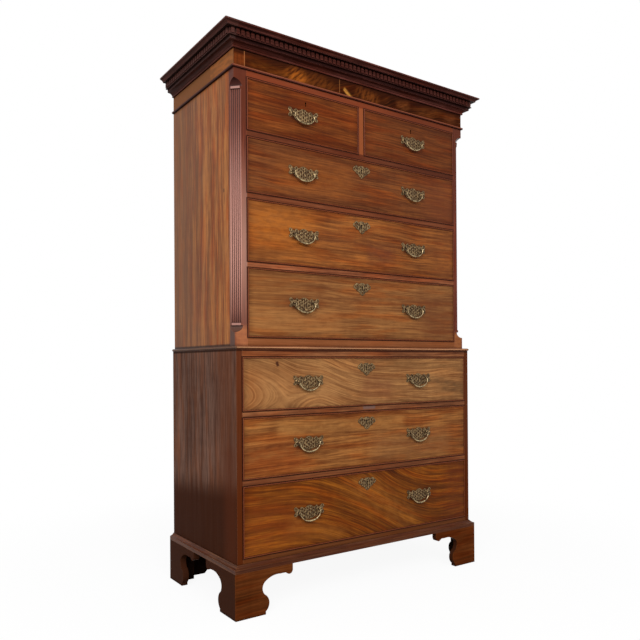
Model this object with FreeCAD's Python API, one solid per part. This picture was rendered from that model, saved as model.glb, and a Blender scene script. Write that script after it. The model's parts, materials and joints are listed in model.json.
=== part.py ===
import FreeCAD, Part
import math
import os
from collections import namedtuple

# A chest on chest: a lower case of three long drawers on bracket feet, and an upper
# case of three long and two short drawers with canted, fluted front corners, under a
# dentil cornice. Millimetres. Z is up, the floor is z = 0, the front faces -Y, and
# the origin is at the middle of the whole chest's footprint.

V = FreeCAD.Vector

# ---------------------------------------------------------------- case sizes
LOWER_WIDTH = 1058.0  # over the lower case's sides
CASE_DEPTH = 514.0  # from the lower case's front plane to the back
FOOT_HEIGHT = 147.0
BASE_MOULD_HEIGHT = 23.0
BASE_OVERHANG = 16.0
LOWER_OPENINGS = (230.0, 200.0, 175.0)  # long drawer openings, bottom one first
LOWER_BOTTOM_RAIL = 17.0  # what shows above the base moulding
LOWER_TOP_RAIL = 26.0

UPPER_INSET = 7.0  # of the upper case, at each side
UPPER_SET_BACK = 22.0  # of the upper case's front
UPPER_OPENINGS = (228.0, 205.0, 183.0)
SHORT_OPENING = 172.0  # height of the two short drawers' openings
UPPER_BOTTOM_RAIL = 28.0  # what shows above the waist moulding
UPPER_TOP_RAIL = 22.0
UPRIGHT_WIDTH = 26.0  # between the two short drawers, and of the guide behind it

WAIST_HEIGHT = 10.0
WAIST_OVERHANG = 3.0
WAIST_GAP = 0.5  # between the waist moulding and the case that drops into it

# ---------------------------------------------------------------- timber
SIDE_T = 21.0
BOARD_T = 18.0
BACK_T = 10.0
REBATE = 8.0  # how far the back boards run into each side
BACK_BOARDS = 5
BACK_V = 2.0  # chamfer along each back board's edge
DIVIDER = 20.0  # height of a rail between two drawers
RAIL_DEPTH = 60.0
BOTTOM_RAIL_T = 22.0
RUNNER_WIDTH = 36.0
KICKER_T = 7.0
DUST_T = 7.0
CENTRE_RUNNER = 70.0
GUIDE_HEIGHT = 20.0

# ---------------------------------------------------------------- canted corners
CANT = 27.0  # how far the cant cuts each face back
STILE_FACE = 20.0  # flat stile between the cant and the drawers
CORNER_BACKING = 3.0  # of the corner block behind the pilaster
CANT_FOOT = 44.0  # start of the lower run-out above the waist moulding
CANT_HEAD = 33.0  # end of the upper run-out below the astragal
RUN_OUT = 22.0  # height of each lamb's-tongue run-out
PILASTER_MARGIN = 9.0  # bare cant beyond each end of the pilaster
PILASTER_T = 2.5
CAP_HEIGHT = 8.0
CAP_PROUD = 3.0
FLUTES = 5
FLUTE_WIDTH = 4.6
FLUTE_DEPTH = 1.2
FLUTE_PITCH = 6.6

# ---------------------------------------------------------------- mouldings
ASTRAGAL_HEIGHT = 9.0
ASTRAGAL_REACH = 7.0
FRIEZE_HEIGHT = 53.0
FRIEZE_SEAT = 5.0  # the frieze starts this far below the astragal's top
CORNICE_HEIGHT = 63.0
CORNICE_REACH = 54.0
DENTIL_PITCH = 18.0
DENTIL_WIDTH = 10.5
DENTIL_HEIGHT = 17.0
DENTIL_REACH = 6.0  # of each tooth beyond its strip
DENTIL_STRIP = 4.0
DENTIL_GAP = 0.5  # below the teeth, and three times as much above them
DUST_COVER_SINK = 15.0  # of the top boards below the cornice's top

# ---------------------------------------------------------------- feet
BRACKET_LENGTH = 214.0
BRACKET_T = 22.0
BACK_BRACKET_LENGTH = 240.0
BACK_BRACKET_FOOT = 0.46  # share of that length that stands on the floor
FOOT_BLOCK = 45.0
BLOCK_LIFT = 3.0  # foot blocks stop short of the floor

# ---------------------------------------------------------------- drawers
DRAWER_GAP = 1.0  # round each drawer front
RUN_GAP = 0.3  # between a drawer and what it runs on
BACK_ROOM = 10.0  # behind a closed drawer
FRONT_T = 20.0
LINING_T = 10.0
SIDE_DROP = 6.0  # of the drawer sides below the top of the opening
BACK_DROP = 5.0  # of the drawer back below its sides
BOTTOM_T = 6.0
BOTTOM_LIFT = 8.0  # of the drawer bottom above its sides' lower edges
GROOVE = 5.0
STRIP_WIDTH = 14.0  # running strips under the bottom
BEAD_WIDTH = 3.0
BEAD_PROUD = 2.5
BEAD_DEPTH = 5.0
BEAD_NOSE = 1.0
LAP = 6.0  # drawer front left in front of the lapped dovetails
TAIL_PITCH = 70.0
TAIL_SLOPE = 0.16
STOP_LENGTH = 45.0
STOP_WIDTH = 12.0
STOP_HEIGHT = 4.0

# ---------------------------------------------------------------- locks
LOCK_WIDTH = 56.0
LOCK_HEIGHT = 58.0
LOCK_SEAT = 9.0  # drawer front left in front of the lock
BOLT_WIDTH = 18.0
BOLT_T = 4.0
BOLT_HEIGHT = 24.0
BOLT_GAP = 0.3
BOLT_THROW = 8.0
MORTISE_GAP = 2.0  # round the thrown bolt
KEYHOLE_DOWN = 36.0  # below the top of the drawer opening
KEY_SLOT = 3.5
KEY_HEAD = 7.0
KEY_DROP = 12.0  # from the middle of the keyhole's head to the foot of its slot

# ---------------------------------------------------------------- handles
HANDLE_SPREAD = 254.0  # from the chest's middle to each handle's
POST_RISE = 6.0  # of the posts above the drawer's middle
POST_SPREAD = 46.0  # from a handle's middle to each post
POST_R = 4.0
POST_SIDES = 6
POST_STAND = 10.0  # from the plate to the eye
PLATE_T = 1.6
PLATE_UP = 20.0  # plate above the posts
PLATE_DOWN = 25.0  # plate below the posts
BAIL_R = 2.0
BAIL_SIDES = 6
BAIL_DROP = 31.0
BAIL_BELLY_R = 48.0
BAIL_BELLY_HALF = 36.0  # half the width of the grip's round stretch
BAIL_KNEE = 1.6
BELLY_RUNS = 5
EYE_GAP = 0.45
ARM_GAP = 0.6  # between a bail's arm and its post
PIN_LENGTH = 5.0  # of the bail's pin inside its post
ESC_HALF = 40.0  # half the escutcheon's width
ESC_UP = 15.0
ESC_DOWN = 31.0

OVERRUN = 1.0  # of a cutting tool past the wood that it cuts

# ---------------------------------------------------------------- worked out
FRONT_REACH = max(BASE_OVERHANG, CORNICE_REACH - UPPER_SET_BACK)
BACK = (CASE_DEPTH + FRONT_REACH) / 2
LOWER_FRONT = BACK - CASE_DEPTH
UPPER_FRONT = LOWER_FRONT + UPPER_SET_BACK
LOWER_HALF = LOWER_WIDTH / 2
UPPER_HALF = LOWER_HALF - UPPER_INSET
LOWER_OPEN = LOWER_HALF - SIDE_T
CORNER_DEPTH = CANT + math.sqrt(2) * PILASTER_T + CORNER_BACKING
UPPER_OPEN = UPPER_HALF - CANT - STILE_FACE
UPPER_IN = UPPER_HALF - SIDE_T


def floors(start, heights):
    """Heights at which the openings above each other start."""
    out = []
    for height in heights:
        out.append(start)
        start += height + DIVIDER
    return out


LOWER_FLOORS = floors(FOOT_HEIGHT + BASE_MOULD_HEIGHT + LOWER_BOTTOM_RAIL, LOWER_OPENINGS)
LOWER_CEILING = LOWER_FLOORS[-1] + LOWER_OPENINGS[-1]
LOWER_TOP = LOWER_CEILING + LOWER_TOP_RAIL
WAIST_TOP = LOWER_TOP + WAIST_HEIGHT
UPPER_HEIGHTS = UPPER_OPENINGS + (SHORT_OPENING,)
UPPER_FLOORS = floors(WAIST_TOP + UPPER_BOTTOM_RAIL, UPPER_HEIGHTS)
UPPER_CEILING = UPPER_FLOORS[-1] + SHORT_OPENING
ASTRAGAL_Z = UPPER_CEILING + UPPER_TOP_RAIL
FRIEZE_Z = ASTRAGAL_Z + ASTRAGAL_HEIGHT
CASE_HEAD = FRIEZE_Z - FRIEZE_SEAT
CORNICE_Z = FRIEZE_Z + FRIEZE_HEIGHT
TOP = CORNICE_Z + CORNICE_HEIGHT

Drawer = namedtuple("Drawer", "name middle half floor height front handles escutcheon")


# ---------------------------------------------------------------- shape helpers
def box(x0, x1, y0, y1, z0, z1):
    """A box between its two corners."""
    return Part.makeBox(x1 - x0, y1 - y0, z1 - z0, V(x0, y0, z0))


def in_xy(z):
    return lambda a, b: V(a, b, z)


def in_xz(y):
    return lambda a, b: V(a, y, b)


def in_yz(x):
    return lambda a, b: V(x, a, b)


def outline(points, place):
    """A closed wire through points. ("arc", middle, end) bends there, through middle."""
    edges = []
    last = place(*points[0])
    for point in list(points[1:]) + [points[0]]:
        if point[0] == "arc":
            middle, end = place(*point[1]), place(*point[2])
            edges.append(Part.Arc(last, middle, end).toShape())
        else:
            end = place(*point)
            if (end - last).Length > 1e-6:
                edges.append(Part.LineSegment(last, end).toShape())
        last = end
    return Part.Wire(edges)


def prism(points, place, push, holes=()):
    """The outline's face, less its holes, pushed along a vector."""
    wires = [outline(points, place)] + [outline(hole, place) for hole in holes]
    face = Part.Face(wires[0])
    for wire in wires[1:]:
        face = face.cut(Part.Face(wire))
    return face.extrude(push).Solids[0]


def both_sides(half):
    """An outline from its right half, which runs from the top middle to the bottom middle."""
    out = list(half)
    for i in range(len(half) - 1, 0, -1):
        before = half[i - 1]
        x, z = before[2] if before[0] == "arc" else before
        if half[i][0] == "arc":
            out.append(("arc", (-half[i][1][0], half[i][1][1]), (-x, z)))
        else:
            out.append((-x, z))
    return out


def sized(points, across, up, down):
    """Points given as shares, with x times across and z times up or down."""

    def place(point):
        return point[0] * across, point[1] * (up if point[1] > 0 else down)

    return [("arc", place(p[1]), place(p[2])) if p[0] == "arc" else place(p) for p in points]


def mirrored(shape):
    """The same piece for the other end of the chest."""
    return shape.mirror(V(0, 0, 0), V(1, 0, 0))


def save(name, solids):
    """One STEP file for a node, from its separate solids."""
    Part.makeCompound(solids).exportStep(f"parts/{name}.step")


def mitred_lengths(profile, half, front):
    """Front and side lengths of a moulding round a case, mitred at the front corners.

    profile holds (out, z): out from the case's faces, which stand at x = half and y = front.
    """
    ends = [p[2] if p[0] == "arc" else p for p in profile]
    reach = 2 * max(abs(out) for out, _ in ends) + OVERRUN
    low, high = min(z for _, z in ends) - OVERRUN, max(z for _, z in ends) + OVERRUN
    corner = [(half + reach, front - reach), (half - reach, front + reach)]
    wedge_points = [(-x, y) for x, y in corner] + corner[::-1]
    wedge = prism(wedge_points, in_xy(low), V(0, 0, high - low))
    long = prism(profile, lambda out, z: V(-half - reach, front - out, z), V(2 * (half + reach), 0, 0))
    side = prism(profile, lambda out, z: V(half + out, front - reach, z), V(0, BACK - front + reach, 0))
    side = side.cut(wedge).Solids[0]
    return [long.common(wedge).Solids[0], side, mirrored(side)]


# ---------------------------------------------------------------- cases
def back_rebate(inner, low, high):
    """What is cut from a side whose inner face is at inner, to take the back boards."""
    return box(inner - OVERRUN, inner + REBATE, BACK - BACK_T, BACK + OVERRUN, low - OVERRUN, high + OVERRUN)


def case_sides(half, front, low, high):
    """Two boards, rebated along the back for the back boards."""
    side = box(half - SIDE_T, half, front, BACK, low, high)
    side = side.cut(back_rebate(half - SIDE_T, low, high))
    return [side, mirrored(side)]


def back_boards(inner, low, high):
    """Upright boards that fill the back, with a V where two meet."""
    start = -inner - REBATE
    width = 2 * (inner + REBATE) / BACK_BOARDS
    near, far = BACK - BACK_T, BACK
    boards = []
    for i in range(BACK_BOARDS):
        x0, x1 = start + i * width, start + (i + 1) * width
        section = [(x0, near), (x1, near), (x1, far - BACK_V), (x1 - BACK_V, far)]
        section += [(x0 + BACK_V, far), (x0, far - BACK_V)]
        boards.append(prism(section, in_xy(low), V(0, 0, high - low)))
    return boards


def with_mortises(rail, drawers, front, under):
    """The rail, with a pocket above each lock below it for the thrown bolt."""
    for drawer in drawers:
        x, y = drawer.middle, front + LOCK_SEAT
        reach = BOLT_WIDTH / 2 + MORTISE_GAP
        top = under + BOLT_THROW + OVERRUN
        pocket = box(x - reach, x + reach, y, y + FRONT_T - LOCK_SEAT, under - OVERRUN, top)
        rail = rail.cut(pocket)
    return rail


def stops(drawers):
    """Two small blocks for each drawer, which its front closes against."""
    out = []
    for drawer in drawers:
        y = drawer.front + FRONT_T + RUN_GAP
        for side in (-1, 1):
            x = drawer.middle + side * drawer.half / 2
            half = STOP_LENGTH / 2
            out.append(box(x - half, x + half, y, y + STOP_WIDTH, drawer.floor, drawer.floor + STOP_HEIGHT))
    return out


def lower_boards():
    """Bottom and top boards, back plinth rail, runners, kickers and dust boards."""
    back = BACK - BACK_T
    inner = LOWER_OPEN
    behind = LOWER_FRONT + RAIL_DEPTH
    bottom = LOWER_FLOORS[0]
    out = [
        box(-inner, inner, LOWER_FRONT + BOTTOM_RAIL_T, back, bottom - BOARD_T, bottom),
        box(-inner, inner, BACK - BOTTOM_RAIL_T, BACK, FOOT_HEIGHT, bottom - BOARD_T),
        box(-inner, inner, behind, back, LOWER_TOP - BOARD_T, LOWER_TOP),
    ]
    kicker = box(inner - RUNNER_WIDTH, inner, behind, back, LOWER_CEILING, LOWER_TOP - BOARD_T)
    out += [kicker, mirrored(kicker)]
    for floor in LOWER_FLOORS[1:]:
        runner = box(inner - RUNNER_WIDTH, inner, behind, back, floor - DIVIDER, floor)
        out += [runner, mirrored(runner)]
        low = floor - (DIVIDER + DUST_T) / 2
        out.append(box(RUNNER_WIDTH - inner, inner - RUNNER_WIDTH, behind, back, low, low + DUST_T))
    return out


def lower_rails(drawers):
    """Bottom rail, two dividers and top rail, mortised for the bolts, and the drawer stops."""
    x, front = LOWER_OPEN, LOWER_FRONT
    bottom = box(-x, x, front, front + BOTTOM_RAIL_T, FOOT_HEIGHT, LOWER_FLOORS[0])
    out = [bottom]
    tops = LOWER_FLOORS[1:] + [LOWER_TOP]
    for i, drawer in enumerate(drawers):
        under = drawer.floor + drawer.height
        rail = box(-x, x, front, front + RAIL_DEPTH, under, tops[i])
        out.append(with_mortises(rail, [drawer], front, under))
    return out + stops(drawers)


def upper_boards():
    """Upper case: bottom and top boards, dust cover, runners, guides and dust boards."""
    back = BACK - BACK_T
    inner = UPPER_IN
    behind = UPPER_FRONT + RAIL_DEPTH
    bottom = UPPER_FLOORS[0]
    cover = TOP - DUST_COVER_SINK
    out = [
        box(-inner, inner, UPPER_FRONT + CORNER_DEPTH, back, bottom - BOARD_T, bottom),
        box(-inner, inner, behind, back, CASE_HEAD - BOARD_T, CASE_HEAD),
        box(-inner, inner, UPPER_FRONT + SIDE_T, back, cover - BACK_T, cover),
    ]
    wide = inner - UPPER_OPEN + RUNNER_WIDTH
    kicker = box(inner - wide, inner, behind, back, UPPER_CEILING, CASE_HEAD - BOARD_T)
    middle = box(-CENTRE_RUNNER / 2, CENTRE_RUNNER / 2, behind, back, UPPER_CEILING, CASE_HEAD - BOARD_T)
    out += [kicker, mirrored(kicker), middle]
    for floor in UPPER_FLOORS:
        guide = box(UPPER_OPEN, inner, behind, back, floor, floor + GUIDE_HEIGHT)
        out += [guide, mirrored(guide)]
    for floor in UPPER_FLOORS[1:]:
        runner = box(inner - wide, inner, behind, back, floor - DIVIDER, floor)
        out += [runner, mirrored(runner)]
        low = floor - (DIVIDER + DUST_T) / 2
        if floor == UPPER_FLOORS[-1]:
            half = CENTRE_RUNNER / 2
            out.append(box(-half, half, behind, back, floor - DIVIDER, floor))
            half_guide = UPRIGHT_WIDTH / 2
            out.append(box(-half_guide, half_guide, behind, back, floor, floor + GUIDE_HEIGHT))
            dust = box(half, inner - wide, behind, back, low, low + DUST_T)
            out += [dust, mirrored(dust)]
        else:
            out.append(box(wide - inner, inner - wide, behind, back, low, low + DUST_T))
    return out


def upper_rail(low, high):
    """A rail notched round the corner blocks."""
    front = box(-UPPER_OPEN, UPPER_OPEN, UPPER_FRONT, UPPER_FRONT + CORNER_DEPTH, low, high)
    rear = box(-UPPER_IN, UPPER_IN, UPPER_FRONT + CORNER_DEPTH, UPPER_FRONT + RAIL_DEPTH, low, high)
    return front.fuse(rear).removeSplitter().Solids[0]


def upper_rails(long_drawers, short_drawers):
    """Upper case rails, the upright between the short drawers, and the drawer stops."""
    x, back = UPPER_OPEN, UPPER_FRONT + CORNER_DEPTH
    out = [box(-x, x, UPPER_FRONT, back, LOWER_TOP, UPPER_FLOORS[0])]
    tops = UPPER_FLOORS[1:] + [CASE_HEAD]
    rows = [[drawer] for drawer in long_drawers] + [short_drawers]
    for row, top in zip(rows, tops):
        under = row[0].floor + row[0].height
        out.append(with_mortises(upper_rail(under, top), row, UPPER_FRONT, under))
    half = UPRIGHT_WIDTH / 2
    out.append(box(-half, half, UPPER_FRONT, UPPER_FRONT + RAIL_DEPTH, UPPER_FLOORS[-1], UPPER_CEILING))
    return out + stops(long_drawers + short_drawers)


# ---------------------------------------------------------------- canted corners
def canted_corner():
    """A corner block with its cant and run-outs, and the fluted pilaster planted on it."""
    low, high = LOWER_TOP, CASE_HEAD
    block = box(UPPER_OPEN, UPPER_HALF, UPPER_FRONT, UPPER_FRONT + CORNER_DEPTH, low, high)
    root = math.sqrt(0.5)
    face = CANT * root  # depth of the pilaster's face, from the square corner along the diagonal
    deep = face + PILASTER_T

    def diagonal(across):
        """Places (depth, z) on the upright plane through the corner's diagonal, moved across."""
        start = V(UPPER_HALF + across * root, UPPER_FRONT + across * root, 0)
        return lambda depth, z: start + V(-depth * root, depth * root, z)

    foot, head = WAIST_TOP + CANT_FOOT, ASTRAGAL_Z - CANT_HEAD
    bend = (deep * deep + RUN_OUT * RUN_OUT) / (2 * deep)  # radius of a run-out's hollow
    turn = math.asin(RUN_OUT / bend) / 2
    mid_depth, mid_rise = deep - bend * (1 - math.cos(turn)), RUN_OUT - bend * math.sin(turn)
    cut = [
        (-face, foot),
        (0, foot),
        ("arc", (mid_depth, foot + mid_rise), (deep, foot + RUN_OUT)),
        (deep, head - RUN_OUT),
        ("arc", (mid_depth, head - mid_rise), (0, head)),
        (-face, head),
    ]
    width = 4 * deep
    block = block.cut(prism(cut, diagonal(-width / 2), V(width * root, width * root, 0)))

    z0, z1 = foot + RUN_OUT + PILASTER_MARGIN, head - RUN_OUT - PILASTER_MARGIN
    section = [(-deep, deep), (-face, face)]
    for i in range(FLUTES):
        middle = (i - (FLUTES - 1) / 2) * FLUTE_PITCH
        section.append((middle - FLUTE_WIDTH / 2, face))
        section.append(("arc", (middle, face + FLUTE_DEPTH), (middle + FLUTE_WIDTH / 2, face)))
    section += [(face, face), (deep, deep)]

    def across_cant(z):
        return lambda across, depth: diagonal(across)(depth, z)

    pilaster = prism(section, across_cant(z0), V(0, 0, z1 - z0))
    proud = face - CAP_PROUD
    cap_section = [(-deep, deep), (-proud, proud), (proud, proud), (deep, deep)]
    caps = [prism(cap_section, across_cant(z), V(0, 0, CAP_HEIGHT)) for z in (z0 - CAP_HEIGHT, z1)]
    return [block, pilaster] + caps


# ---------------------------------------------------------------- mouldings and feet
def base_moulding():
    """A square edge with a shallow hollow sloping up from it, round the foot of the lower case."""
    z, rise, out = FOOT_HEIGHT, BASE_MOULD_HEIGHT, BASE_OVERHANG
    hollow = ("arc", (0.46 * out, z + 0.74 * rise), (0.14 * out, z + rise))
    profile = [(0, z), (out, z), (out, z + 0.57 * rise), hollow, (0, z + rise)]
    return mitred_lengths(profile, LOWER_HALF, LOWER_FRONT)


def waist_moulding():
    """A small rounded moulding on the lower case, which the upper case drops into."""
    z0, z1, out = LOWER_TOP, WAIST_TOP, WAIST_OVERHANG
    inner = WAIST_GAP - UPPER_INSET
    nose = WAIST_HEIGHT / 2
    profile = [(inner, z0), (0, z0), (0, z0 + 0.2 * nose), (out, z0 + 0.5 * nose)]
    profile += [("arc", (out + 0.12 * nose, z0 + nose), (out, z1 - 0.5 * nose)), (0, z1), (inner, z1)]
    front, right, left = mitred_lengths(profile, LOWER_HALF, LOWER_FRONT)
    ledge_half = UPPER_HALF
    ledge = box(-ledge_half, ledge_half, LOWER_FRONT - inner, UPPER_FRONT - WAIST_GAP, z0, z1)
    return [front.fuse(ledge).removeSplitter().Solids[0], right, left]


def cornice():
    """Astragal, cornice moulding and dentil course."""
    z, head, reach = ASTRAGAL_Z, FRIEZE_Z, ASTRAGAL_REACH
    nose = ("arc", (reach, (z + head) / 2), (0.3 * reach, head))
    bead = [(0, z), (0.3 * reach, z), nose, (0, head)]
    z, rise, reach = CORNICE_Z, CORNICE_HEIGHT, CORNICE_REACH
    fascia = 0.435 * reach
    fillet = z + 0.46 * rise
    strip = fillet + DENTIL_GAP
    crown = strip + DENTIL_HEIGHT + 3 * DENTIL_GAP
    crown_rise = TOP - crown
    profile = [
        (0, z),
        (0.09 * reach, z),
        (0.11 * reach, z + 0.03 * rise),
        (0.11 * reach, z + 0.08 * rise),
        (0.08 * reach, z + 0.10 * rise),
        (0.12 * reach, z + 0.12 * rise),
        ("arc", (0.20 * reach, z + 0.19 * rise), (0.39 * reach, z + 0.23 * rise)),
        (0.39 * reach, z + 0.25 * rise),
        (fascia, z + 0.25 * rise),
        (fascia, z + 0.405 * rise),
        (0.57 * reach, z + 0.405 * rise),
        (0.57 * reach, fillet),
        (fascia, fillet),
        (fascia, crown),
        (0.78 * reach, crown),
        (0.78 * reach, crown + 0.13 * crown_rise),
        ("arc", (0.85 * reach, crown + 0.45 * crown_rise), (0.96 * reach, crown + 0.63 * crown_rise)),
        (reach, crown + 0.70 * crown_rise),
        (reach, TOP),
        (0, TOP),
    ]
    out = mitred_lengths(bead, UPPER_HALF, UPPER_FRONT) + mitred_lengths(profile, UPPER_HALF, UPPER_FRONT)
    return out + dentils(fascia, strip)


def comb(length):
    """Points of a toothed strip's edge along its length, as (along, out), evenly spaced."""
    count = max(2, round(length / DENTIL_PITCH))
    pitch = length / count
    half = DENTIL_WIDTH / 2
    face, tip = DENTIL_STRIP, DENTIL_STRIP + DENTIL_REACH
    points = []
    for i in range(count):
        at = (i + 0.5) * pitch
        points += [(at - half, face), (at - half, tip), (at + half, tip), (at + half, face)]
    return points


def dentils(strip_face, z):
    """Toothed strips under the crown, along the front and both sides."""
    push = V(0, 0, DENTIL_HEIGHT)
    face = strip_face + DENTIL_STRIP
    half = UPPER_HALF + face
    teeth = [(a - half, o) for a, o in comb(2 * half)]
    edge = [(x, UPPER_FRONT - strip_face - out) for x, out in teeth]
    front_line = UPPER_FRONT - strip_face
    front = [(-half, front_line), (-half, front_line - DENTIL_STRIP)] + edge
    front += [(half, front_line - DENTIL_STRIP), (half, front_line)]
    side_length = BACK - front_line
    teeth = comb(side_length)
    base = UPPER_HALF + strip_face
    edge = [(base + out, front_line + along) for along, out in teeth]
    side = [(base, front_line), (face + UPPER_HALF, front_line)] + edge
    side += [(face + UPPER_HALF, BACK), (base, BACK)]
    right = prism(side, in_xy(z), push)
    return [prism(front, in_xy(z), push), right, mirrored(right)]


def frieze():
    """Three mitred boards above the astragal, which also carry the cornice."""
    low, high = CASE_HEAD, TOP - DUST_COVER_SINK
    profile = [(-SIDE_T, low), (0, low), (0, high), (-SIDE_T, high)]
    front, right, left = mitred_lengths(profile, UPPER_HALF, UPPER_FRONT)
    right = right.cut(back_rebate(UPPER_IN, low, high)).Solids[0]
    return [front, right, mirrored(right)]


# a shaped bracket from its outer corner: shares of its length and height
BRACKET = [
    (0, 0),
    (0.514, 0),
    (0.514, 0.068),
    ("arc", (0.575, 0.224), (0.500, 0.442)),
    ("arc", (0.460, 0.558), (0.528, 0.748)),
    ("arc", (0.631, 0.816), (0.776, 0.830)),
    (0.874, 0.830),
    (0.912, 0.789),
    (0.944, 0.776),
    (0.982, 0.800),
    (1, 0.857),
    (1, 1),
    (0, 1),
]


def bracket_feet():
    """Shaped brackets mitred at the front corners, plain ones at the back, and their blocks."""
    shape = sized(BRACKET, BRACKET_LENGTH, FOOT_HEIGHT, FOOT_HEIGHT)
    x0, y0, t = LOWER_HALF + BASE_OVERHANG, LOWER_FRONT - BASE_OVERHANG, BRACKET_T
    low, push = in_xy(-OVERRUN), V(0, 0, FOOT_HEIGHT + 2 * OVERRUN)
    to_side = prism([(x0, y0), (x0, y0 + t), (x0 - t, y0 + t)], low, push)
    to_front = prism([(x0, y0), (x0 - t, y0), (x0 - t, y0 + t)], low, push)
    front = prism(shape, lambda a, z: V(x0 - a, y0, z), V(0, t, 0)).cut(to_side).Solids[0]
    side = prism(shape, lambda a, z: V(x0 - t, y0 + a, z), V(t, 0, 0)).cut(to_front).Solids[0]
    rear = prism(shape, lambda a, z: V(x0 - t, BACK - a, z), V(t, 0, 0))
    on_floor = BACK_BRACKET_FOOT * BACK_BRACKET_LENGTH
    plain = [(0, 0), (on_floor, 0), (BACK_BRACKET_LENGTH, FOOT_HEIGHT), (0, FOOT_HEIGHT)]
    behind = prism(plain, lambda a, z: V(x0 - t - a, BACK - t, z), V(0, t, 0))
    b = FOOT_BLOCK
    blocks = [
        box(x0 - t - b, x0 - t, y0 + t, y0 + t + b, BLOCK_LIFT, FOOT_HEIGHT),
        box(x0 - t - b, x0 - t, BACK - t - b, BACK - t, BLOCK_LIFT, FOOT_HEIGHT),
    ]
    right = [front, side, rear, behind] + blocks
    return right + [mirrored(piece) for piece in right]


# ---------------------------------------------------------------- drawers
def tails(low, high, shoulder, end):
    """Dovetails up one end of a drawer side, as (y, z) points from the bottom."""
    count = max(2, round((high - low) / TAIL_PITCH))
    pitch = (high - low) / count
    flare = abs(end - shoulder) * TAIL_SLOPE
    half = 0.33 * pitch
    points = []
    for i in range(count):
        z = low + (i + 0.5) * pitch
        root = half - flare
        points += [(shoulder, z - root), (end, z - half), (end, z + half), (shoulder, z + root)]
    return points


def keyhole(x, z):
    """A keyhole's outline: a head over a slot."""
    slot, head = KEY_SLOT / 2, KEY_HEAD / 2
    right = [(slot, -KEY_DROP), (slot, -head), (head, 0), (slot, head)]
    return [(x + a, z + b) for a, b in right] + [(x - a, z + b) for a, b in right[::-1]]


def drawer_parts(d):
    """A drawer's front with its cock-bead, and its box: sides, back, bottom, running strips."""
    face, inside = d.front, d.front + FRONT_T
    half = d.half - DRAWER_GAP
    low, high = d.floor + DRAWER_GAP, d.floor + d.height - DRAWER_GAP
    x0, x1 = d.middle - half, d.middle + half
    floor = d.floor + RUN_GAP
    rim = d.floor + d.height - SIDE_DROP
    rear = BACK - BACK_T - BACK_ROOM
    bed = floor + BOTTOM_LIFT
    bed_top = bed + BOTTOM_T

    w, nose_y, root_y = BEAD_WIDTH, face - BEAD_PROUD, face + BEAD_DEPTH
    bead = box(x0, x1, nose_y, root_y, low, high)
    bead = bead.cut(box(x0 + w, x1 - w, nose_y - OVERRUN, root_y + OVERRUN, low + w, high - w))
    nose = [e for e in bead.Edges if all(abs(v.Y - nose_y) < 1e-6 for v in e.Vertexes)]
    nosed = bead.makeChamfer(min(BEAD_NOSE, 0.45 * w), nose)
    front = box(x0, x1, face, inside, low, high).cut(bead)

    bottom = box(x0 + LINING_T - GROOVE, x1 - LINING_T + GROOVE, inside - GROOVE, rear, bed, bed_top)
    edge = [(inside, floor)] + tails(floor, rim, inside, face + LAP)
    edge += [(inside, rim), (rear, rim), (rear, floor)]
    left = prism(edge, in_yz(x0), V(LINING_T, 0, 0))
    right = prism(edge, in_yz(x1 - LINING_T), V(LINING_T, 0, 0))
    back = box(x0 + LINING_T, x1 - LINING_T, rear - LINING_T, rear, bed_top, rim - BACK_DROP)
    front = front.cut(left).cut(right).cut(bottom)
    sides = [side.cut(bottom) for side in (left, right)]
    strips = [
        box(x0 + LINING_T, x0 + LINING_T + STRIP_WIDTH, inside, rear, floor, bed),
        box(x1 - LINING_T - STRIP_WIDTH, x1 - LINING_T, inside, rear, floor, bed),
    ]

    reach = LOCK_WIDTH / 2
    lock = box(d.middle - reach, d.middle + reach, face + LOCK_SEAT, inside, high - LOCK_HEIGHT, high)
    hole = keyhole(d.middle, d.floor + d.height - KEYHOLE_DOWN)
    front = front.cut(lock).cut(prism(hole, in_xz(face - OVERRUN), V(0, LOCK_SEAT + OVERRUN, 0)))
    return [front, nosed], sides + [back, bottom] + strips


def lock_parts(d):
    """The lock's case, let into the drawer front, and the bolt that rises out of it."""
    face, inside = d.front + LOCK_SEAT, d.front + FRONT_T
    high = d.floor + d.height - DRAWER_GAP
    middle = (face + inside) / 2
    case = box(d.middle - LOCK_WIDTH / 2, d.middle + LOCK_WIDTH / 2, face, inside, high - LOCK_HEIGHT, high)
    half, thick = BOLT_WIDTH / 2, BOLT_T / 2
    top = high - DRAWER_GAP
    g = BOLT_GAP
    bolt = box(d.middle - half, d.middle + half, middle - thick, middle + thick, top - BOLT_HEIGHT, top)
    slot = box(
        d.middle - half - g,
        d.middle + half + g,
        middle - thick - g,
        middle + thick + g,
        top - BOLT_HEIGHT - g,
        high + OVERRUN,
    )
    return case.cut(slot), bolt


# ---------------------------------------------------------------- brasses
# right half of the handle plate, from the top middle down: x as a share of the posts'
# distance, z as a share of the plate's height above or below the posts
PLATE = [
    (0, 1),
    (0.20, 0.91),
    (0.45, 0.57),
    (0.63, 0.88),
    (0.78, 0.48),
    (1.00, 0.57),
    (1.19, 0.24),
    (1.19, -0.18),
    (1.00, -0.43),
    (0.79, -0.38),
    (0.70, -0.72),
    (0.44, -0.79),
    (0.20, -0.95),
    (0, -1),
]
# piercings of the handle plate, in the same shares; each is repeated on the left
PLATE_HOLES = [
    [(0.10, 0.30), (0.27, 0.66), (0.42, 0.26), (0.26, 0.02)],
    [(0.16, -0.30), (0.38, -0.14), (0.50, -0.48), (0.27, -0.74)],
]
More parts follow.
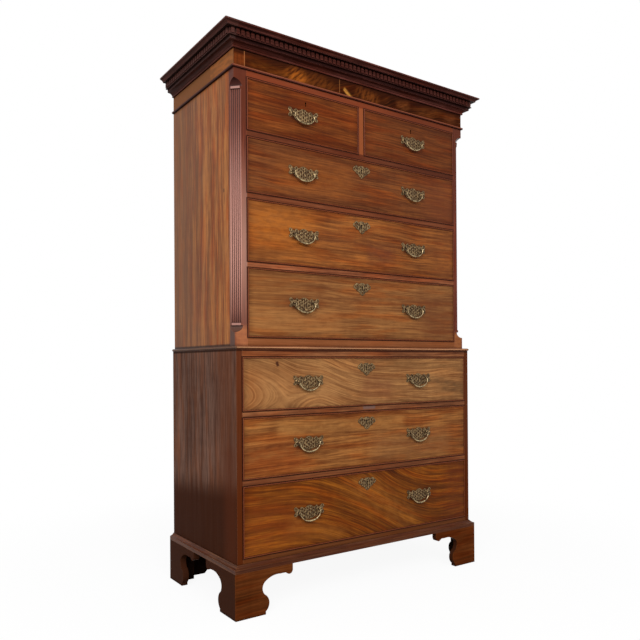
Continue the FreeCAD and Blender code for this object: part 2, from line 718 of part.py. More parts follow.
# right half of the escutcheon: shares of its half width, and of its height above or
# below the keyhole
ESCUTCHEON = [
    (0, 1),
    (0.18, 0.93),
    (0.34, 0.50),
    (0.58, 0.93),
    (0.86, 0.86),
    (1.00, 0.30),
    (0.86, -0.20),
    (0.56, -0.28),
    (0.33, -0.50),
    (0.20, -0.86),
    (0, -1),
]
ESCUTCHEON_HOLES = [
    [(0.44, 0.28), (0.62, 0.60), (0.80, 0.24), (0.60, -0.08)],
]


def handle_plate(x, face, z):
    """A pierced back plate round two posts at height z."""
    place = lambda a, b: V(x + a, face, z + b)
    holes = []
    for hole in PLATE_HOLES:
        points = sized(hole, POST_SPREAD, PLATE_UP, PLATE_DOWN)
        holes += [points, [(-a, b) for a, b in points]]
    shape = sized(both_sides(PLATE), POST_SPREAD, PLATE_UP, PLATE_DOWN)
    return prism(shape, place, V(0, -PLATE_T, 0), holes)


def escutcheon(x, face, z):
    """A pierced shield round the keyhole."""
    place = lambda a, b: V(x + a, face, z + b)
    holes = [keyhole(0, 0)]
    for hole in ESCUTCHEON_HOLES:
        points = sized(hole, ESC_HALF, ESC_UP, ESC_DOWN)
        holes += [points, [(-a, b) for a, b in points]]
    return prism(sized(both_sides(ESCUTCHEON), ESC_HALF, ESC_UP, ESC_DOWN), place, V(0, -PLATE_T, 0), holes)


def many_sided(x, z, radius, sides):
    """Corners of an even polygon about (x, z)."""
    turns = [2 * math.pi * (k + 0.5) / sides for k in range(sides)]
    return [(x + radius * math.cos(turn), z + radius * math.sin(turn)) for turn in turns]


def faceted_bar(points, middle, radius):
    """A bar of many-sided section along straight runs in an XZ plane, mitred at each bend."""
    rings = []
    for i, (x, z) in enumerate(points):
        runs = []
        for j in (i, i + 1):
            if 0 < j < len(points):
                run = V(points[j][0] - points[j - 1][0], 0, points[j][1] - points[j - 1][1])
                runs.append(run.normalize())
        along = (runs[0] + runs[-1]).normalize()
        across = V(-along.z, 0, along.x) / along.dot(runs[0])
        corners = many_sided(0, 0, radius, BAIL_SIDES)
        rings.append([V(x, middle, z) + across * a + V(0, b, 0) for a, b in corners])
    faces = [Part.Face(Part.makePolygon(ring + ring[:1])) for ring in (rings[0], rings[-1])]
    for near, far in zip(rings, rings[1:]):
        for k in range(BAIL_SIDES):
            n = (k + 1) % BAIL_SIDES
            faces.append(Part.Face(Part.makePolygon([near[k], near[n], far[n], far[k], near[k]])))
    bar = Part.makeSolid(Part.makeShell(faces))
    if bar.Volume < 0:
        bar.reverse()
    return bar


def bail_half():
    """Half of the bail's line, from its pin to beside the middle of the grip."""
    arm = POST_SPREAD - POST_R - BAIL_R - ARM_GAP
    centre = BAIL_BELLY_R - BAIL_DROP
    widest = math.asin(BAIL_BELLY_HALF / BAIL_BELLY_R)
    pin = POST_SPREAD - POST_R + PIN_LENGTH
    points = [(pin, 0), (arm + BAIL_KNEE, 0), (arm, -BAIL_KNEE)]
    for i in range((BELLY_RUNS + 1) // 2):
        turn = widest * (1 - 2 * i / BELLY_RUNS)
        points.append((BAIL_BELLY_R * math.sin(turn), centre - BAIL_BELLY_R * math.cos(turn)))
    return points


def bail(x, eye, z):
    """A bail hanging from its pins, as one bar."""
    half = bail_half()
    line = [(x + a, z + b) for a, b in half] + [(x - a, z + b) for a, b in half[::-1]]
    return faceted_bar(line, eye, BAIL_R)


def posts(x, face, z):
    """Two turned posts, each with an eye from its inner side for the bail's pin."""
    eye = face - PLATE_T - POST_STAND
    out = []
    for side in (-1, 1):
        post_x = x + side * POST_SPREAD
        length = POST_STAND + POST_R
        post = prism(many_sided(post_x, z, POST_R, POST_SIDES), in_xz(face - PLATE_T), V(0, -length, 0))
        far = post_x + side * (PIN_LENGTH - POST_R + OVERRUN)
        near = post_x - side * (POST_R + 2 * OVERRUN)
        out.append(post.cut(faceted_bar([(far, z), (near, z)], eye, BAIL_R + EYE_GAP)))
    return out


# ---------------------------------------------------------------- the whole chest
def long_drawer(name, floor, height, half, front):
    return Drawer(name, 0.0, half, floor, height, front, (-HANDLE_SPREAD, HANDLE_SPREAD), True)


def all_drawers():
    """Lower long drawers, upper long drawers and short drawers, each row bottom first."""
    rows = ("bottom", "middle", "top")
    lower = [
        long_drawer(f"lower_{row}", floor, height, LOWER_OPEN, LOWER_FRONT)
        for row, floor, height in zip(rows, LOWER_FLOORS, LOWER_OPENINGS)
    ]
    upper = [
        long_drawer(f"upper_{row}", floor, height, UPPER_OPEN, UPPER_FRONT)
        for row, floor, height in zip(rows, UPPER_FLOORS, UPPER_OPENINGS)
    ]
    half = (UPPER_OPEN - UPRIGHT_WIDTH / 2) / 2
    middle = UPRIGHT_WIDTH / 2 + half
    floor, height = UPPER_FLOORS[-1], SHORT_OPENING
    short = []
    for name, side in (("left", -1), ("right", 1)):
        handles = (side * HANDLE_SPREAD,)
        short.append(Drawer(f"short_{name}", side * middle, half, floor, height, UPPER_FRONT, handles, False))
    return lower, upper, short


def save_drawer(d):
    """The nodes of one drawer: front, box, brasses, lock bolt and bails."""
    front, linings = drawer_parts(d)
    case, bolt = lock_parts(d)
    post_z = d.floor + d.height / 2 + POST_RISE
    eye = d.front - PLATE_T - POST_STAND
    brasses = [case]
    for x in d.handles:
        brasses.append(handle_plate(x, d.front, post_z))
        brasses += posts(x, d.front, post_z)
        side = "left" if x < 0 else "right"
        tail = f"_{side}" if len(d.handles) > 1 else ""
        save(f"{d.name}_bail{tail}", [bail(x, eye, post_z)])
    if d.escutcheon:
        brasses.append(escutcheon(d.middle, d.front, d.floor + d.height - KEYHOLE_DOWN))
    save(f"{d.name}_front", front)
    save(f"{d.name}_box", linings)
    save(f"{d.name}_brasses", brasses)
    save(f"{d.name}_bolt", [bolt])


def main():
    os.makedirs("parts", exist_ok=True)
    lower, upper, short = all_drawers()
    save("lower_case_sides", case_sides(LOWER_HALF, LOWER_FRONT, FOOT_HEIGHT, LOWER_TOP))
    save("lower_case_boards", lower_boards())
    save("lower_case_rails", lower_rails(lower))
    save("lower_case_back", back_boards(LOWER_OPEN, LOWER_FLOORS[0] - BOARD_T, LOWER_TOP))
    save("base_moulding", base_moulding())
    save("bracket_feet", bracket_feet())
    save("waist_moulding", waist_moulding())
    save("upper_case_sides", case_sides(UPPER_HALF, UPPER_FRONT + CORNER_DEPTH, LOWER_TOP, CASE_HEAD))
    save("upper_case_boards", upper_boards())
    save("upper_case_rails", upper_rails(upper, short))
    save("upper_case_back", back_boards(UPPER_IN, LOWER_TOP, TOP - DUST_COVER_SINK))
    corner = canted_corner()
    save("fluted_corners", corner + [mirrored(piece) for piece in corner])
    save("frieze", frieze())
    save("cornice", cornice())
    for drawer in lower + upper + short:
        save_drawer(drawer)


main()
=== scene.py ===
"""Dresses the chest on chest: its woods and brasses, the floor, the lamps and the camera.

Each sub-assembly is a class that builds its finer pieces and chooses its finishes.
Lengths are in metres unless a name ends in _mm, and colours are display levels from 0 to
255.
"""

import json
import logging
import math
from dataclasses import dataclass, field, replace
from enum import Enum
from functools import reduce

import bmesh
import bpy
import numpy as np
from mathutils import Matrix, Vector


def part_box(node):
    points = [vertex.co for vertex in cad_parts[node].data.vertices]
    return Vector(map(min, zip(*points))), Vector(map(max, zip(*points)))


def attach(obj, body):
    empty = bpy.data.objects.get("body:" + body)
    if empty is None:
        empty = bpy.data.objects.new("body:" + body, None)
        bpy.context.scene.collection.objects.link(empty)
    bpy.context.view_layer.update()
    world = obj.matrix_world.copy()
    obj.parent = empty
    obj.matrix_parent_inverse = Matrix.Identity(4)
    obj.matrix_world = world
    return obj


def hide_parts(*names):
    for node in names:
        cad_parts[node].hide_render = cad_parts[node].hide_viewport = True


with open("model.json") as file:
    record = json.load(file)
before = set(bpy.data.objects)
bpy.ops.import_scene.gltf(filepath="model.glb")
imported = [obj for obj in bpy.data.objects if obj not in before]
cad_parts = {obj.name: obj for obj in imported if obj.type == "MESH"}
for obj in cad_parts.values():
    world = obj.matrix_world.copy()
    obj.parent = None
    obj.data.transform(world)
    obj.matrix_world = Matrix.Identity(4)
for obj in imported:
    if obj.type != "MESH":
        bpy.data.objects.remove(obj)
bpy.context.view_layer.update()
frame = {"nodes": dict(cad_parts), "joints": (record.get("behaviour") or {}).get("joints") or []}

MM = 0.001
WELD_MM = 0.01
OPENING_GAP_MM = 1.0
WHITE = (1, 1, 1, 1)
Levels = tuple[int, int, int]
Colour = tuple[float, float, float, float]
Socket = bpy.types.NodeSocket

log = logging.getLogger("chest")


def tone(levels: Levels) -> Colour:
    """Gives a shader colour for display levels.

    Args:
        levels: red, green and blue.

    Returns:
        The linear colour with full alpha.
    """
    shares = np.array(levels) / 255
    linear = np.where(shares <= 0.04045, shares / 12.92, ((shares + 0.055) / 1.055) ** 2.4)
    return (*linear.tolist(), 1.0)


# ------------------------------------------------------------------ shapes
@dataclass
class Shape:
    """Points and faces of a piece, in metres, with outward faces."""

    points: np.ndarray
    faces: list[tuple[int, ...]]

    def moved(self, by: tuple[float, float, float]) -> "Shape":
        """Gives a copy shifted by a vector."""
        return Shape(self.points + np.array(by), self.faces)

    def piece(self, name: str, finish: bpy.types.Material, crease: float = 40.0) -> bpy.types.Object:
        """Makes the object, smooth but for edges sharper than the crease.

        Args:
            name: the object's name.
            finish: its material.
            crease: angle in degrees from which an edge stays sharp.

        Returns:
            The linked object, with its place in its mesh.
        """
        mesh = bpy.data.meshes.new(name)
        mesh.from_pydata(self.points.tolist(), [], self.faces)
        mesh.polygons.foreach_set("use_smooth", np.ones(len(mesh.polygons), bool))
        mesh.set_sharp_from_angle(angle=math.radians(crease))
        mesh.materials.append(finish)
        made = bpy.data.objects.new(name, mesh)
        bpy.context.scene.collection.objects.link(made)
        return made


def together(shapes: list[Shape]) -> Shape:
    """Joins shapes into one.

    Args:
        shapes: the shapes to join.

    Returns:
        One shape with all their points and faces.
    """
    faces: list[tuple[int, ...]] = []
    count = 0
    for shape in shapes:
        faces += [tuple(i + count for i in face) for face in shape.faces]
        count += len(shape.points)
    return Shape(np.concatenate([shape.points for shape in shapes]), faces)


def skin(grid: np.ndarray) -> Shape:
    """Wraps rings of points into a skin, with a flat face on the first and last ring.

    Point (i, j) is joined to (i + 1, j) and (i, j + 1), with j going round.

    Args:
        grid: rings of points, shaped (rings, points in a ring, 3).

    Returns:
        The skin.
    """
    rings, count = grid.shape[:2]
    at = np.arange(rings * count).reshape(rings, count)
    turn = np.roll(at, -1, axis=1)
    sides = np.stack([at[:-1], turn[:-1], turn[1:], at[1:]], axis=-1).reshape(-1, 4)
    faces = [tuple(face) for face in sides.tolist()]
    faces += [tuple(at[0, ::-1].tolist()), tuple(at[-1].tolist())]
    return Shape(grid.reshape(-1, 3), faces)


def turned(profile: np.ndarray, sides: int = 20) -> Shape:
    """Spins a profile about the line that leads forwards.

    A profile row (r, h) at angle u lies at x = r cos u, y = -h, z = r sin u.

    Args:
        profile: rows of (radius, height).
        sides: points round each ring.

    Returns:
        The turned skin.
    """
    angle = np.linspace(0, 2 * math.pi, sides, endpoint=False)
    radius, height = profile[:, :1], profile[:, 1:]
    x = radius * np.cos(angle)
    z = radius * np.sin(angle)
    y = np.broadcast_to(-height, x.shape)
    return skin(np.stack([x, y, z], axis=-1))


def flowing(corners: np.ndarray, steps: int, closed: bool) -> np.ndarray:
    """Draws a smooth line through corners.

    Each span is the cubic that leaves and meets its corners along half the chord between
    their neighbours.

    Args:
        corners: rows of coordinates.
        steps: points for each span.
        closed: whether the line returns to its first corner.

    Returns:
        Rows of coordinates along the line.
    """
    if not closed:
        first, last = 2 * corners[0] - corners[1], 2 * corners[-1] - corners[-2]
        corners = np.vstack([first, corners, last])
    a, b, c, d = (np.roll(corners, -k, axis=0)[:, None, :] for k in range(4))
    t = np.linspace(0, 1, steps, endpoint=False)[None, :, None]
    square = (2 * a - 5 * b + 4 * c - d) * t**2
    cube = (3 * b - a - 3 * c + d) * t**3
    line = b + ((c - a) * t + square + cube) / 2
    if closed:
        return line.reshape(-1, corners.shape[1])
    return np.vstack([line[:-3].reshape(-1, corners.shape[1]), corners[-2]])


def bar(path: np.ndarray, radii: np.ndarray, sides: int = 12) -> Shape:
    """Carries a round section along a line that lies in an upright plane.

    At each point of the line, the ring is r cos u along the line's own normal and r sin u
    along Y.

    Args:
        path: rows of (x, z).
        radii: the section's radius at each row.
        sides: points round the section.

    Returns:
        The bar, with flat ends.
    """
    slope = np.gradient(path, axis=0)
    slope /= np.linalg.norm(slope, axis=1, keepdims=True)
    angle = np.linspace(0, 2 * math.pi, sides, endpoint=False)
    across = radii[:, None] * np.cos(angle)
    x = path[:, :1] - slope[:, 1:] * across
    z = path[:, 1:] + slope[:, :1] * across
    y = radii[:, None] * np.sin(angle)
    return skin(np.stack([x, y, z], axis=-1))


def sawn_plate(loops: list[np.ndarray], thickness: float, edge: float) -> Shape:
    """Fills the first loop less the others and gives it thickness, with rounded edges.

    Args:
        loops: closed lines of (x, z), the outer one first.
        thickness: along Y, from y = 0 forwards.
        edge: radius of the rounded edges.

    Returns:
        The plate.
    """
    curve = bpy.data.curves.new("sawn_plate", "CURVE")
    curve.dimensions = "2D"
    curve.fill_mode = "BOTH"
    curve.extrude = thickness / 2 - edge
    curve.bevel_depth = edge
    curve.bevel_resolution = 1
    curve.offset = -edge
    for loop in loops:
        spline = curve.splines.new("POLY")
        spline.points.add(len(loop) - 1)
        rows = np.column_stack([loop, np.zeros(len(loop)), np.ones(len(loop))])
        spline.points.foreach_set("co", rows.ravel())
        spline.use_cyclic_u = True
    carrier = bpy.data.objects.new("sawn_plate", curve)
    bpy.context.scene.collection.objects.link(carrier)
    bpy.context.view_layer.update()
    evaluated = carrier.evaluated_get(bpy.context.evaluated_depsgraph_get())
    mesh = bpy.data.meshes.new_from_object(evaluated)
    built = bmesh.new()
    built.from_mesh(mesh)
    bmesh.ops.remove_doubles(built, verts=built.verts, dist=WELD_MM * MM)
    bmesh.ops.recalc_face_normals(built, faces=built.faces)
    flat = np.array([v.co for v in built.verts])
    faces = [tuple(v.index for v in f.verts) for f in built.faces]
    built.free()
    bpy.data.objects.remove(carrier)
    bpy.data.curves.remove(curve)
    bpy.data.meshes.remove(mesh)
    points = np.column_stack([flat[:, 0], -flat[:, 2] - thickness / 2, flat[:, 1]])
    return Shape(points, faces)


def mirrored_loop(half: np.ndarray) -> np.ndarray:
    """Completes a loop from its right half, given from the top middle to the bottom middle."""
    return np.vstack([half, (half * [-1, 1])[-2:0:-1]])


def almond(x: float, z: float, half_width: float, half_height: float, tilt: float) -> np.ndarray:
    """Draws a pointed oval hole of twelve points.

    Its half width runs as the sine of the way round, times that sine's size to the power 0.3.

    Args:
        x, z: its middle.
        half_width, half_height: its half sizes.
        tilt: turn to the right in degrees.

    Returns:
        Rows of (x, z).
    """
    way = np.linspace(0, 2 * math.pi, 12, endpoint=False)
    a = half_width * np.sin(way) * np.abs(np.sin(way)) ** 0.3
    b = half_height * np.cos(way)
    turn = math.radians(tilt)
    across = a * math.cos(turn) + b * math.sin(turn)
    up = b * math.cos(turn) - a * math.sin(turn)
    return np.column_stack([x + across, z + up])


# ------------------------------------------------------------------ shader building
class Graph:
    """A node tree with short calls for adding and joining nodes."""

    def __init__(self, tree: bpy.types.NodeTree) -> None:
        """Keeps the tree and where the next node is put."""
        self.tree = tree
        self.count = 0

    def add(self, kind: str, inputs: dict | None = None, **settings: object) -> bpy.types.Node:
        """Adds a node.

        Args:
            kind: the node's type, without the ShaderNode at its front.
            inputs: socket name or number to a value or to the output that feeds it.
            settings: the node's own properties.

        Returns:
            The new node.
        """
        node = self.tree.nodes.new("ShaderNode" + kind)
        node.location = (180 * (self.count % 12), -220 * (self.count // 12))
        self.count += 1
        for key, value in settings.items():
            setattr(node, key, value)
        for key, value in (inputs or {}).items():
            self.feed(node.inputs[key], value)
        return node

    def feed(self, socket: Socket, value: object) -> None:
        """Sets a socket to a value, or joins it to an output.

        Args:
            socket: the input socket.
            value: the value, or the output that feeds it.
        """
        if isinstance(value, Socket):
            self.tree.links.new(value, socket)
        else:
            socket.default_value = value

    def maths(self, operation: str, *values: object, clamp: bool = False) -> Socket:
        """Adds a Math node on one to three values and gives its output."""
        node = self.add("Math", dict(enumerate(values)), operation=operation, use_clamp=clamp)
        return node.outputs[0]

    def times(self, *values: object) -> Socket:
        """Multiplies values."""
        return reduce(lambda first, second: self.maths("MULTIPLY", first, second), values)

    def plus(self, *values: object) -> Socket:
        """Adds up values."""
        return reduce(lambda first, second: self.maths("ADD", first, second), values)

    def minus(self, first: object, second: object) -> Socket:
        """Takes the second value from the first."""
        return self.maths("SUBTRACT", first, second)

    def size(self, value: object) -> Socket:
        """Gives a value without its sign."""
        return self.maths("ABSOLUTE", value)

    def swing(self, value: object, reach: object) -> Socket:
        """Brings a value from between 0 and 1 to either side of 0, and scales it."""
        return self.times(self.minus(value, 0.5), reach)

    def mix(self, share: object, first: object, second: object, blend: str = "MIX") -> Socket:
        """Mixes two colours by a share and gives the result."""
        inputs = {0: share, 6: first, 7: second}
        return self.add("Mix", inputs, data_type="RGBA", blend_type=blend).outputs[2]

    def noise(self, vector: object, scale: float, detail: float = 2.0, rough: float = 0.5) -> Socket:
        """Adds a Noise texture and gives its value, from 0 to 1."""
        inputs = {"Vector": vector, "Scale": scale, "Detail": detail, "Roughness": rough}
        return self.add("TexNoise", inputs).outputs["Fac"]

    def ramp(
        self, value: object, low: object, high: object, first: object = 0.0, last: object = 1.0
    ) -> Socket:
        """Carries a value smoothly from first at low to last at high."""
        inputs = {0: value, 1: low, 2: high, 3: first, 4: last}
        return self.add("MapRange", inputs, interpolation_type="SMOOTHSTEP").outputs[0]

    def place(self) -> Socket:
        """Gives the place on the object."""
        return self.add("TexCoord").outputs["Object"]

    def parts(self, vector: object) -> tuple[Socket, Socket, Socket]:
        """Splits a vector into x, y and z."""
        return tuple(self.add("SeparateXYZ", {0: vector}).outputs)

    def vector(self, *parts: object) -> Socket:
        """Joins x, y and z into a vector."""
        return self.add("CombineXYZ", dict(enumerate(parts))).outputs[0]

    def sum_of(self, first: object, second: object) -> Socket:
        """Adds two vectors."""
        return self.add("VectorMath", {0: first, 1: second}).outputs[0]

    def stretch(self, vector: object, *by: object) -> Socket:
        """Multiplies a vector's parts by three values."""
        return self.add("VectorMath", {0: vector, 1: self.vector(*by)}, operation="MULTIPLY").outputs[0]


def new_group(
    name: str, inputs: dict[str, object], outputs: dict[str, str]
) -> tuple[Graph, dict, bpy.types.Node]:
    """Starts a shader node group.

    Args:
        name: the group's name.
        inputs: socket name to its default, a number, a colour or None for a vector.
        outputs: socket name to its type: Float, Color or Vector.

    Returns:
        The group's graph, its inner input sockets by name, and its output node.
    """
    tree = bpy.data.node_groups.new(name, "ShaderNodeTree")
    for label, default in inputs.items():
        kind = "Vector" if default is None else "Color" if isinstance(default, tuple) else "Float"
        socket = tree.interface.new_socket(label, in_out="INPUT", socket_type="NodeSocket" + kind)
        if default is not None:
            socket.default_value = default
    for label, kind in outputs.items():
        tree.interface.new_socket(label, in_out="OUTPUT", socket_type="NodeSocket" + kind)
    start = tree.nodes.new("NodeGroupInput")
    end = tree.nodes.new("NodeGroupOutput")
    return Graph(tree), {socket.name: socket for socket in start.outputs if socket.name}, end


# the noises of a timber: how fine each is along and across the grain, its scale, its detail
# and its roughness
TIMBER_NOISES = {
    "fine": (7.0, 200.0, 1.0, 3.0, 0.7),
    "pores": (30.0, 620.0, 1.0, 1.0, 0.5),
    "curl": (34.0, 6.0, 1.0, 2.0, 0.5),
    "old": (3.0, 8.0, 1.0, 2.0, 0.5),
    "drift": (4.0, 26.0, 1.3, 2.0, 0.5),
}
STREAK_LENGTH = 0.055  # how fine the streaks are along the grain, as a share of across it
SWAY_HEIGHT = 1.7  # how fine the sway is up the board, as a share of along it
ARCH_BEND, ARCH_LEAN = 9.0, 0.45  # how the arches grow up the board and along it
ARCH_FADE = (-0.12, 0.10)  # from the nose, where the arches start to fade and are gone
TONE_GAIN = 1.9
EDGE_RADIUS = 0.0016
EDGE_LEAN = (0.995, 0.86)  # cosine of a normal's lean where an edge starts and is full
OPEN_SKY = (0.95, 0.35)  # open share of the sky where a corner starts and is full
RUDDY = (250, 214, 186)
# soiling and painted shade: lines about beads and openings, under brasses and under the waist moulding
GRIME_AND_SHADE = (42, 14, 6)
# painted shadow: the near-black inside the feet
HOLLOW_SHADOW = (12, 7, 5)


def timber_group() -> bpy.types.NodeTree:
    """Builds the group that draws sawn and polished timber on a board.

    The board's X runs along the grain. Broad streaks, fine streaks and pores are noises drawn
    out along X, on a grain line that a slow noise sways, that a smooth step carries up the
    board, and that bends into nested arches, y squared plus a share of x, short of a nose.

    Returns:
        The node group.
    """
    inputs = {
        "Vector": None, "Pale": tone((150, 100, 60)), "Middle": tone((120, 70, 40)),
        "Dark": tone((80, 40, 20)), "Streaks": 45.0, "Sway": 0.02, "Sway Size": 3.0, "Sweep Start": 0.0,
        "Sweep End": 1.0, "Sweep Rise": 0.0, "Arch": 0.0, "Arch Nose": 0.0, "Arch Middle": 0.0,
        "Contrast": 1.0, "Curl": 0.2, "Fine": 0.5, "Patina": 0.3, "Ruddy": 0.0, "Seed": 0.0,
    }
    g, i, end = new_group("timber", inputs, {"Color": "Color", "Height": "Float", "Gloss": "Float"})
    shifted = g.sum_of(i["Vector"], g.vector(i["Seed"], i["Seed"], i["Seed"]))
    x, y, _ = g.parts(i["Vector"])
    sweep = g.ramp(x, i["Sweep Start"], i["Sweep End"], 0.0, i["Sweep Rise"])
    swayed = g.stretch(shifted, i["Sway Size"], g.times(i["Sway Size"], SWAY_HEIGHT), 1.0)
    sway = g.swing(g.noise(swayed, 1.0, 1.5), i["Sway"])
    off = g.minus(y, i["Arch Middle"])
    short = g.minus(x, i["Arch Nose"])
    nested = g.plus(g.times(off, off, ARCH_BEND), g.times(short, ARCH_LEAN))
    arch = g.times(g.ramp(short, *ARCH_FADE, i["Arch"], 0.0), g.minus(nested, off))
    line = g.sum_of(shifted, g.vector(0.0, g.plus(sweep, sway, arch), 0.0))
    along = g.times(i["Streaks"], STREAK_LENGTH)
    broad = g.noise(g.stretch(line, along, i["Streaks"], i["Streaks"]), 1.0, 3.0, 0.55)
    fine, pores, curl, old, drift = (
        g.noise(g.stretch(line, length, across, across), scale, detail, rough)
        for length, across, scale, detail, rough in TIMBER_NOISES.values()
    )
    total = g.plus(
        g.swing(g.ramp(broad, 0.30, 0.70), i["Contrast"]),
        g.swing(g.ramp(fine, 0.30, 0.70), i["Fine"]),
        g.swing(curl, i["Curl"]),
        g.swing(old, i["Patina"]),
    )
    lighter = g.maths("MULTIPLY", total, TONE_GAIN, clamp=True)
    darker = g.maths("MULTIPLY", total, -TONE_GAIN, clamp=True)
    colour = g.mix(darker, g.mix(lighter, i["Middle"], i["Pale"]), i["Dark"])
    reddened = g.times(g.ramp(drift, 0.42, 0.66), i["Ruddy"])
    colour = g.mix(reddened, colour, tone(RUDDY), "MULTIPLY")
    open_pores = g.ramp(pores, 0.58, 0.74)
    g.feed(end.inputs["Color"], g.mix(g.times(open_pores, 0.5), colour, i["Dark"]))
    g.feed(end.inputs["Height"], g.minus(g.times(fine, 0.4), open_pores))
    g.feed(end.inputs["Gloss"], g.times(g.plus(old, fine), 0.5))
    return g.tree


def age_group() -> bpy.types.NodeTree:
    """Builds the group that pales edges and darkens corners.

    The edge mask is how far a rounded normal leans from the true one; its pale is wear and also a
    painted highlight. The corner mask is how much of the near sky is shut out; its dark is soiling
    and old polish, and also painted shade.

    Returns:
        The node group.
    """
    inputs = {
        "Color": tone((120, 70, 40)), "Rubbed": tone((170, 110, 70)), "Dirt": tone((24, 10, 6)),
        "Edge": 0.5, "Corner": 0.8, "Reach": 0.012,
    }
    g, i, end = new_group("age", inputs, {"Color": "Color"})
    normal = g.add("NewGeometry").outputs["Normal"]
    rounded = g.add("Bevel", {"Radius": EDGE_RADIUS}, samples=4).outputs[0]
    lean = g.add("VectorMath", {0: normal, 1: rounded}, operation="DOT_PRODUCT").outputs["Value"]
    edge = g.ramp(lean, *EDGE_LEAN)
    sky = g.add("AmbientOcclusion", {"Distance": i["Reach"]}, samples=6).outputs["AO"]
    shut = g.ramp(sky, *OPEN_SKY)
    patchy = g.plus(g.noise(g.place(), 38.0, 2.0), 0.4)
    # pale edges: wear and a painted highlight
    rub_and_sheen = g.maths("MULTIPLY", g.times(edge, i["Edge"]), patchy, clamp=True)
    rubbed_and_sheen = g.mix(g.times(rub_and_sheen, g.minus(1.0, shut)), i["Color"], i["Rubbed"])
    # dark corners: soiling, old polish and painted shade
    dirty_and_shaded = g.maths("MULTIPLY", shut, i["Corner"], clamp=True)
    g.feed(end.inputs["Color"], g.mix(dirty_and_shaded, rubbed_and_sheen, i["Dirt"]))
    return g.tree


def patch_group() -> bpy.types.NodeTree:
    """Builds the group that marks a soft-edged rectangle, turned in its own plane.

    In the rectangle's own axes a and b, the mask is one smooth step down from 1 to 0 across
    its half width in a, times another across its half height in b. Breaks is a noise drawn
    out along a.

    Returns:
        The node group.
    """
    inputs = {
        "Vector": None, "Across": 0.0, "Up": 0.0, "Half Width": 0.1, "Half Height": 0.1, "Turn": 0.0,
        "Soft": 0.01, "Drawn": 1.0,
    }
    g, i, end = new_group("patch", inputs, {"Mask": "Float", "Breaks": "Float"})
    x, y, z = g.parts(i["Vector"])
    right = g.minus(x, i["Across"])
    up = g.minus(z, i["Up"])
    cosine, sine = g.maths("COSINE", i["Turn"]), g.maths("SINE", i["Turn"])
    a = g.plus(g.times(right, cosine), g.times(up, sine))
    b = g.minus(g.times(up, cosine), g.times(right, sine))
    half_soft = g.times(i["Soft"], 0.5)
    steps = [
        g.ramp(g.size(way), g.minus(half, half_soft), g.plus(half, half_soft), 1.0, 0.0)
        for way, half in ((a, i["Half Width"]), (b, i["Half Height"]))
    ]
    g.feed(end.inputs["Mask"], g.times(*steps))
    drawn = g.vector(g.maths("DIVIDE", a, i["Drawn"]), y, g.times(b, i["Drawn"]))
    g.feed(end.inputs["Breaks"], g.noise(drawn, 46.0, 3.0))
    return g.tree


TIMBER = timber_group()
AGE = age_group()
PATCH = patch_group()


class Grain(Enum):
    """Which way a board's grain runs."""

    ACROSS = "along X"
    UP = "along Z"
    DEEP = "along Y"
    ROUND = "along each length that goes round the case"


class Face(Enum):
    """The face on which a patch is laid out."""

    FRONT = "from the front, in x and z"
    SIDE = "from the side, in y and z"


@dataclass(frozen=True)
class Patch:
    """A soft-edged rectangle in which a board has another colour.

    across and up are its middle, share is how much of its colour shows, soft is the width of
    its edge, tilt turns it in degrees, outside fills all but the rectangle, uneven breaks it
    up, and drawn is how far the breaks are drawn out along it.
    """

    across: float
    up: float
    half_width: float
    half_height: float
    colour: Levels
    share: float = 1.0
    soft: float = 0.004
    tilt: float = 0.0
    face: Face = Face.FRONT
    outside: bool = False
    uneven: float = 0.0
    drawn: float = 1.6

    def laid(self, g: Graph, colour: Socket) -> Socket:
        """Lays the patch over a colour.

        Args:
            g: the material's graph.
            colour: the colour output below it.

        Returns:
            The colour output with the patch.
        """
        place = g.place()
        if self.face is Face.SIDE:
            x, y, z = g.parts(place)
            place = g.vector(y, x, z)
        values = {
            "Vector": place, "Across": self.across, "Up": self.up, "Half Width": self.half_width,
            "Half Height": self.half_height, "Turn": math.radians(self.tilt), "Soft": self.soft,
            "Drawn": self.drawn,
        }
        node = g.add("Group", values, node_tree=PATCH)
        mask = node.outputs["Mask"]
        if self.outside:
            mask = g.minus(1.0, mask)
        if self.uneven:
            mask = g.times(mask, g.ramp(node.outputs["Breaks"], 0.35, 0.65, 1.0 - self.uneven, 1.0))
        return g.mix(g.times(mask, self.share), colour, tone(self.colour))


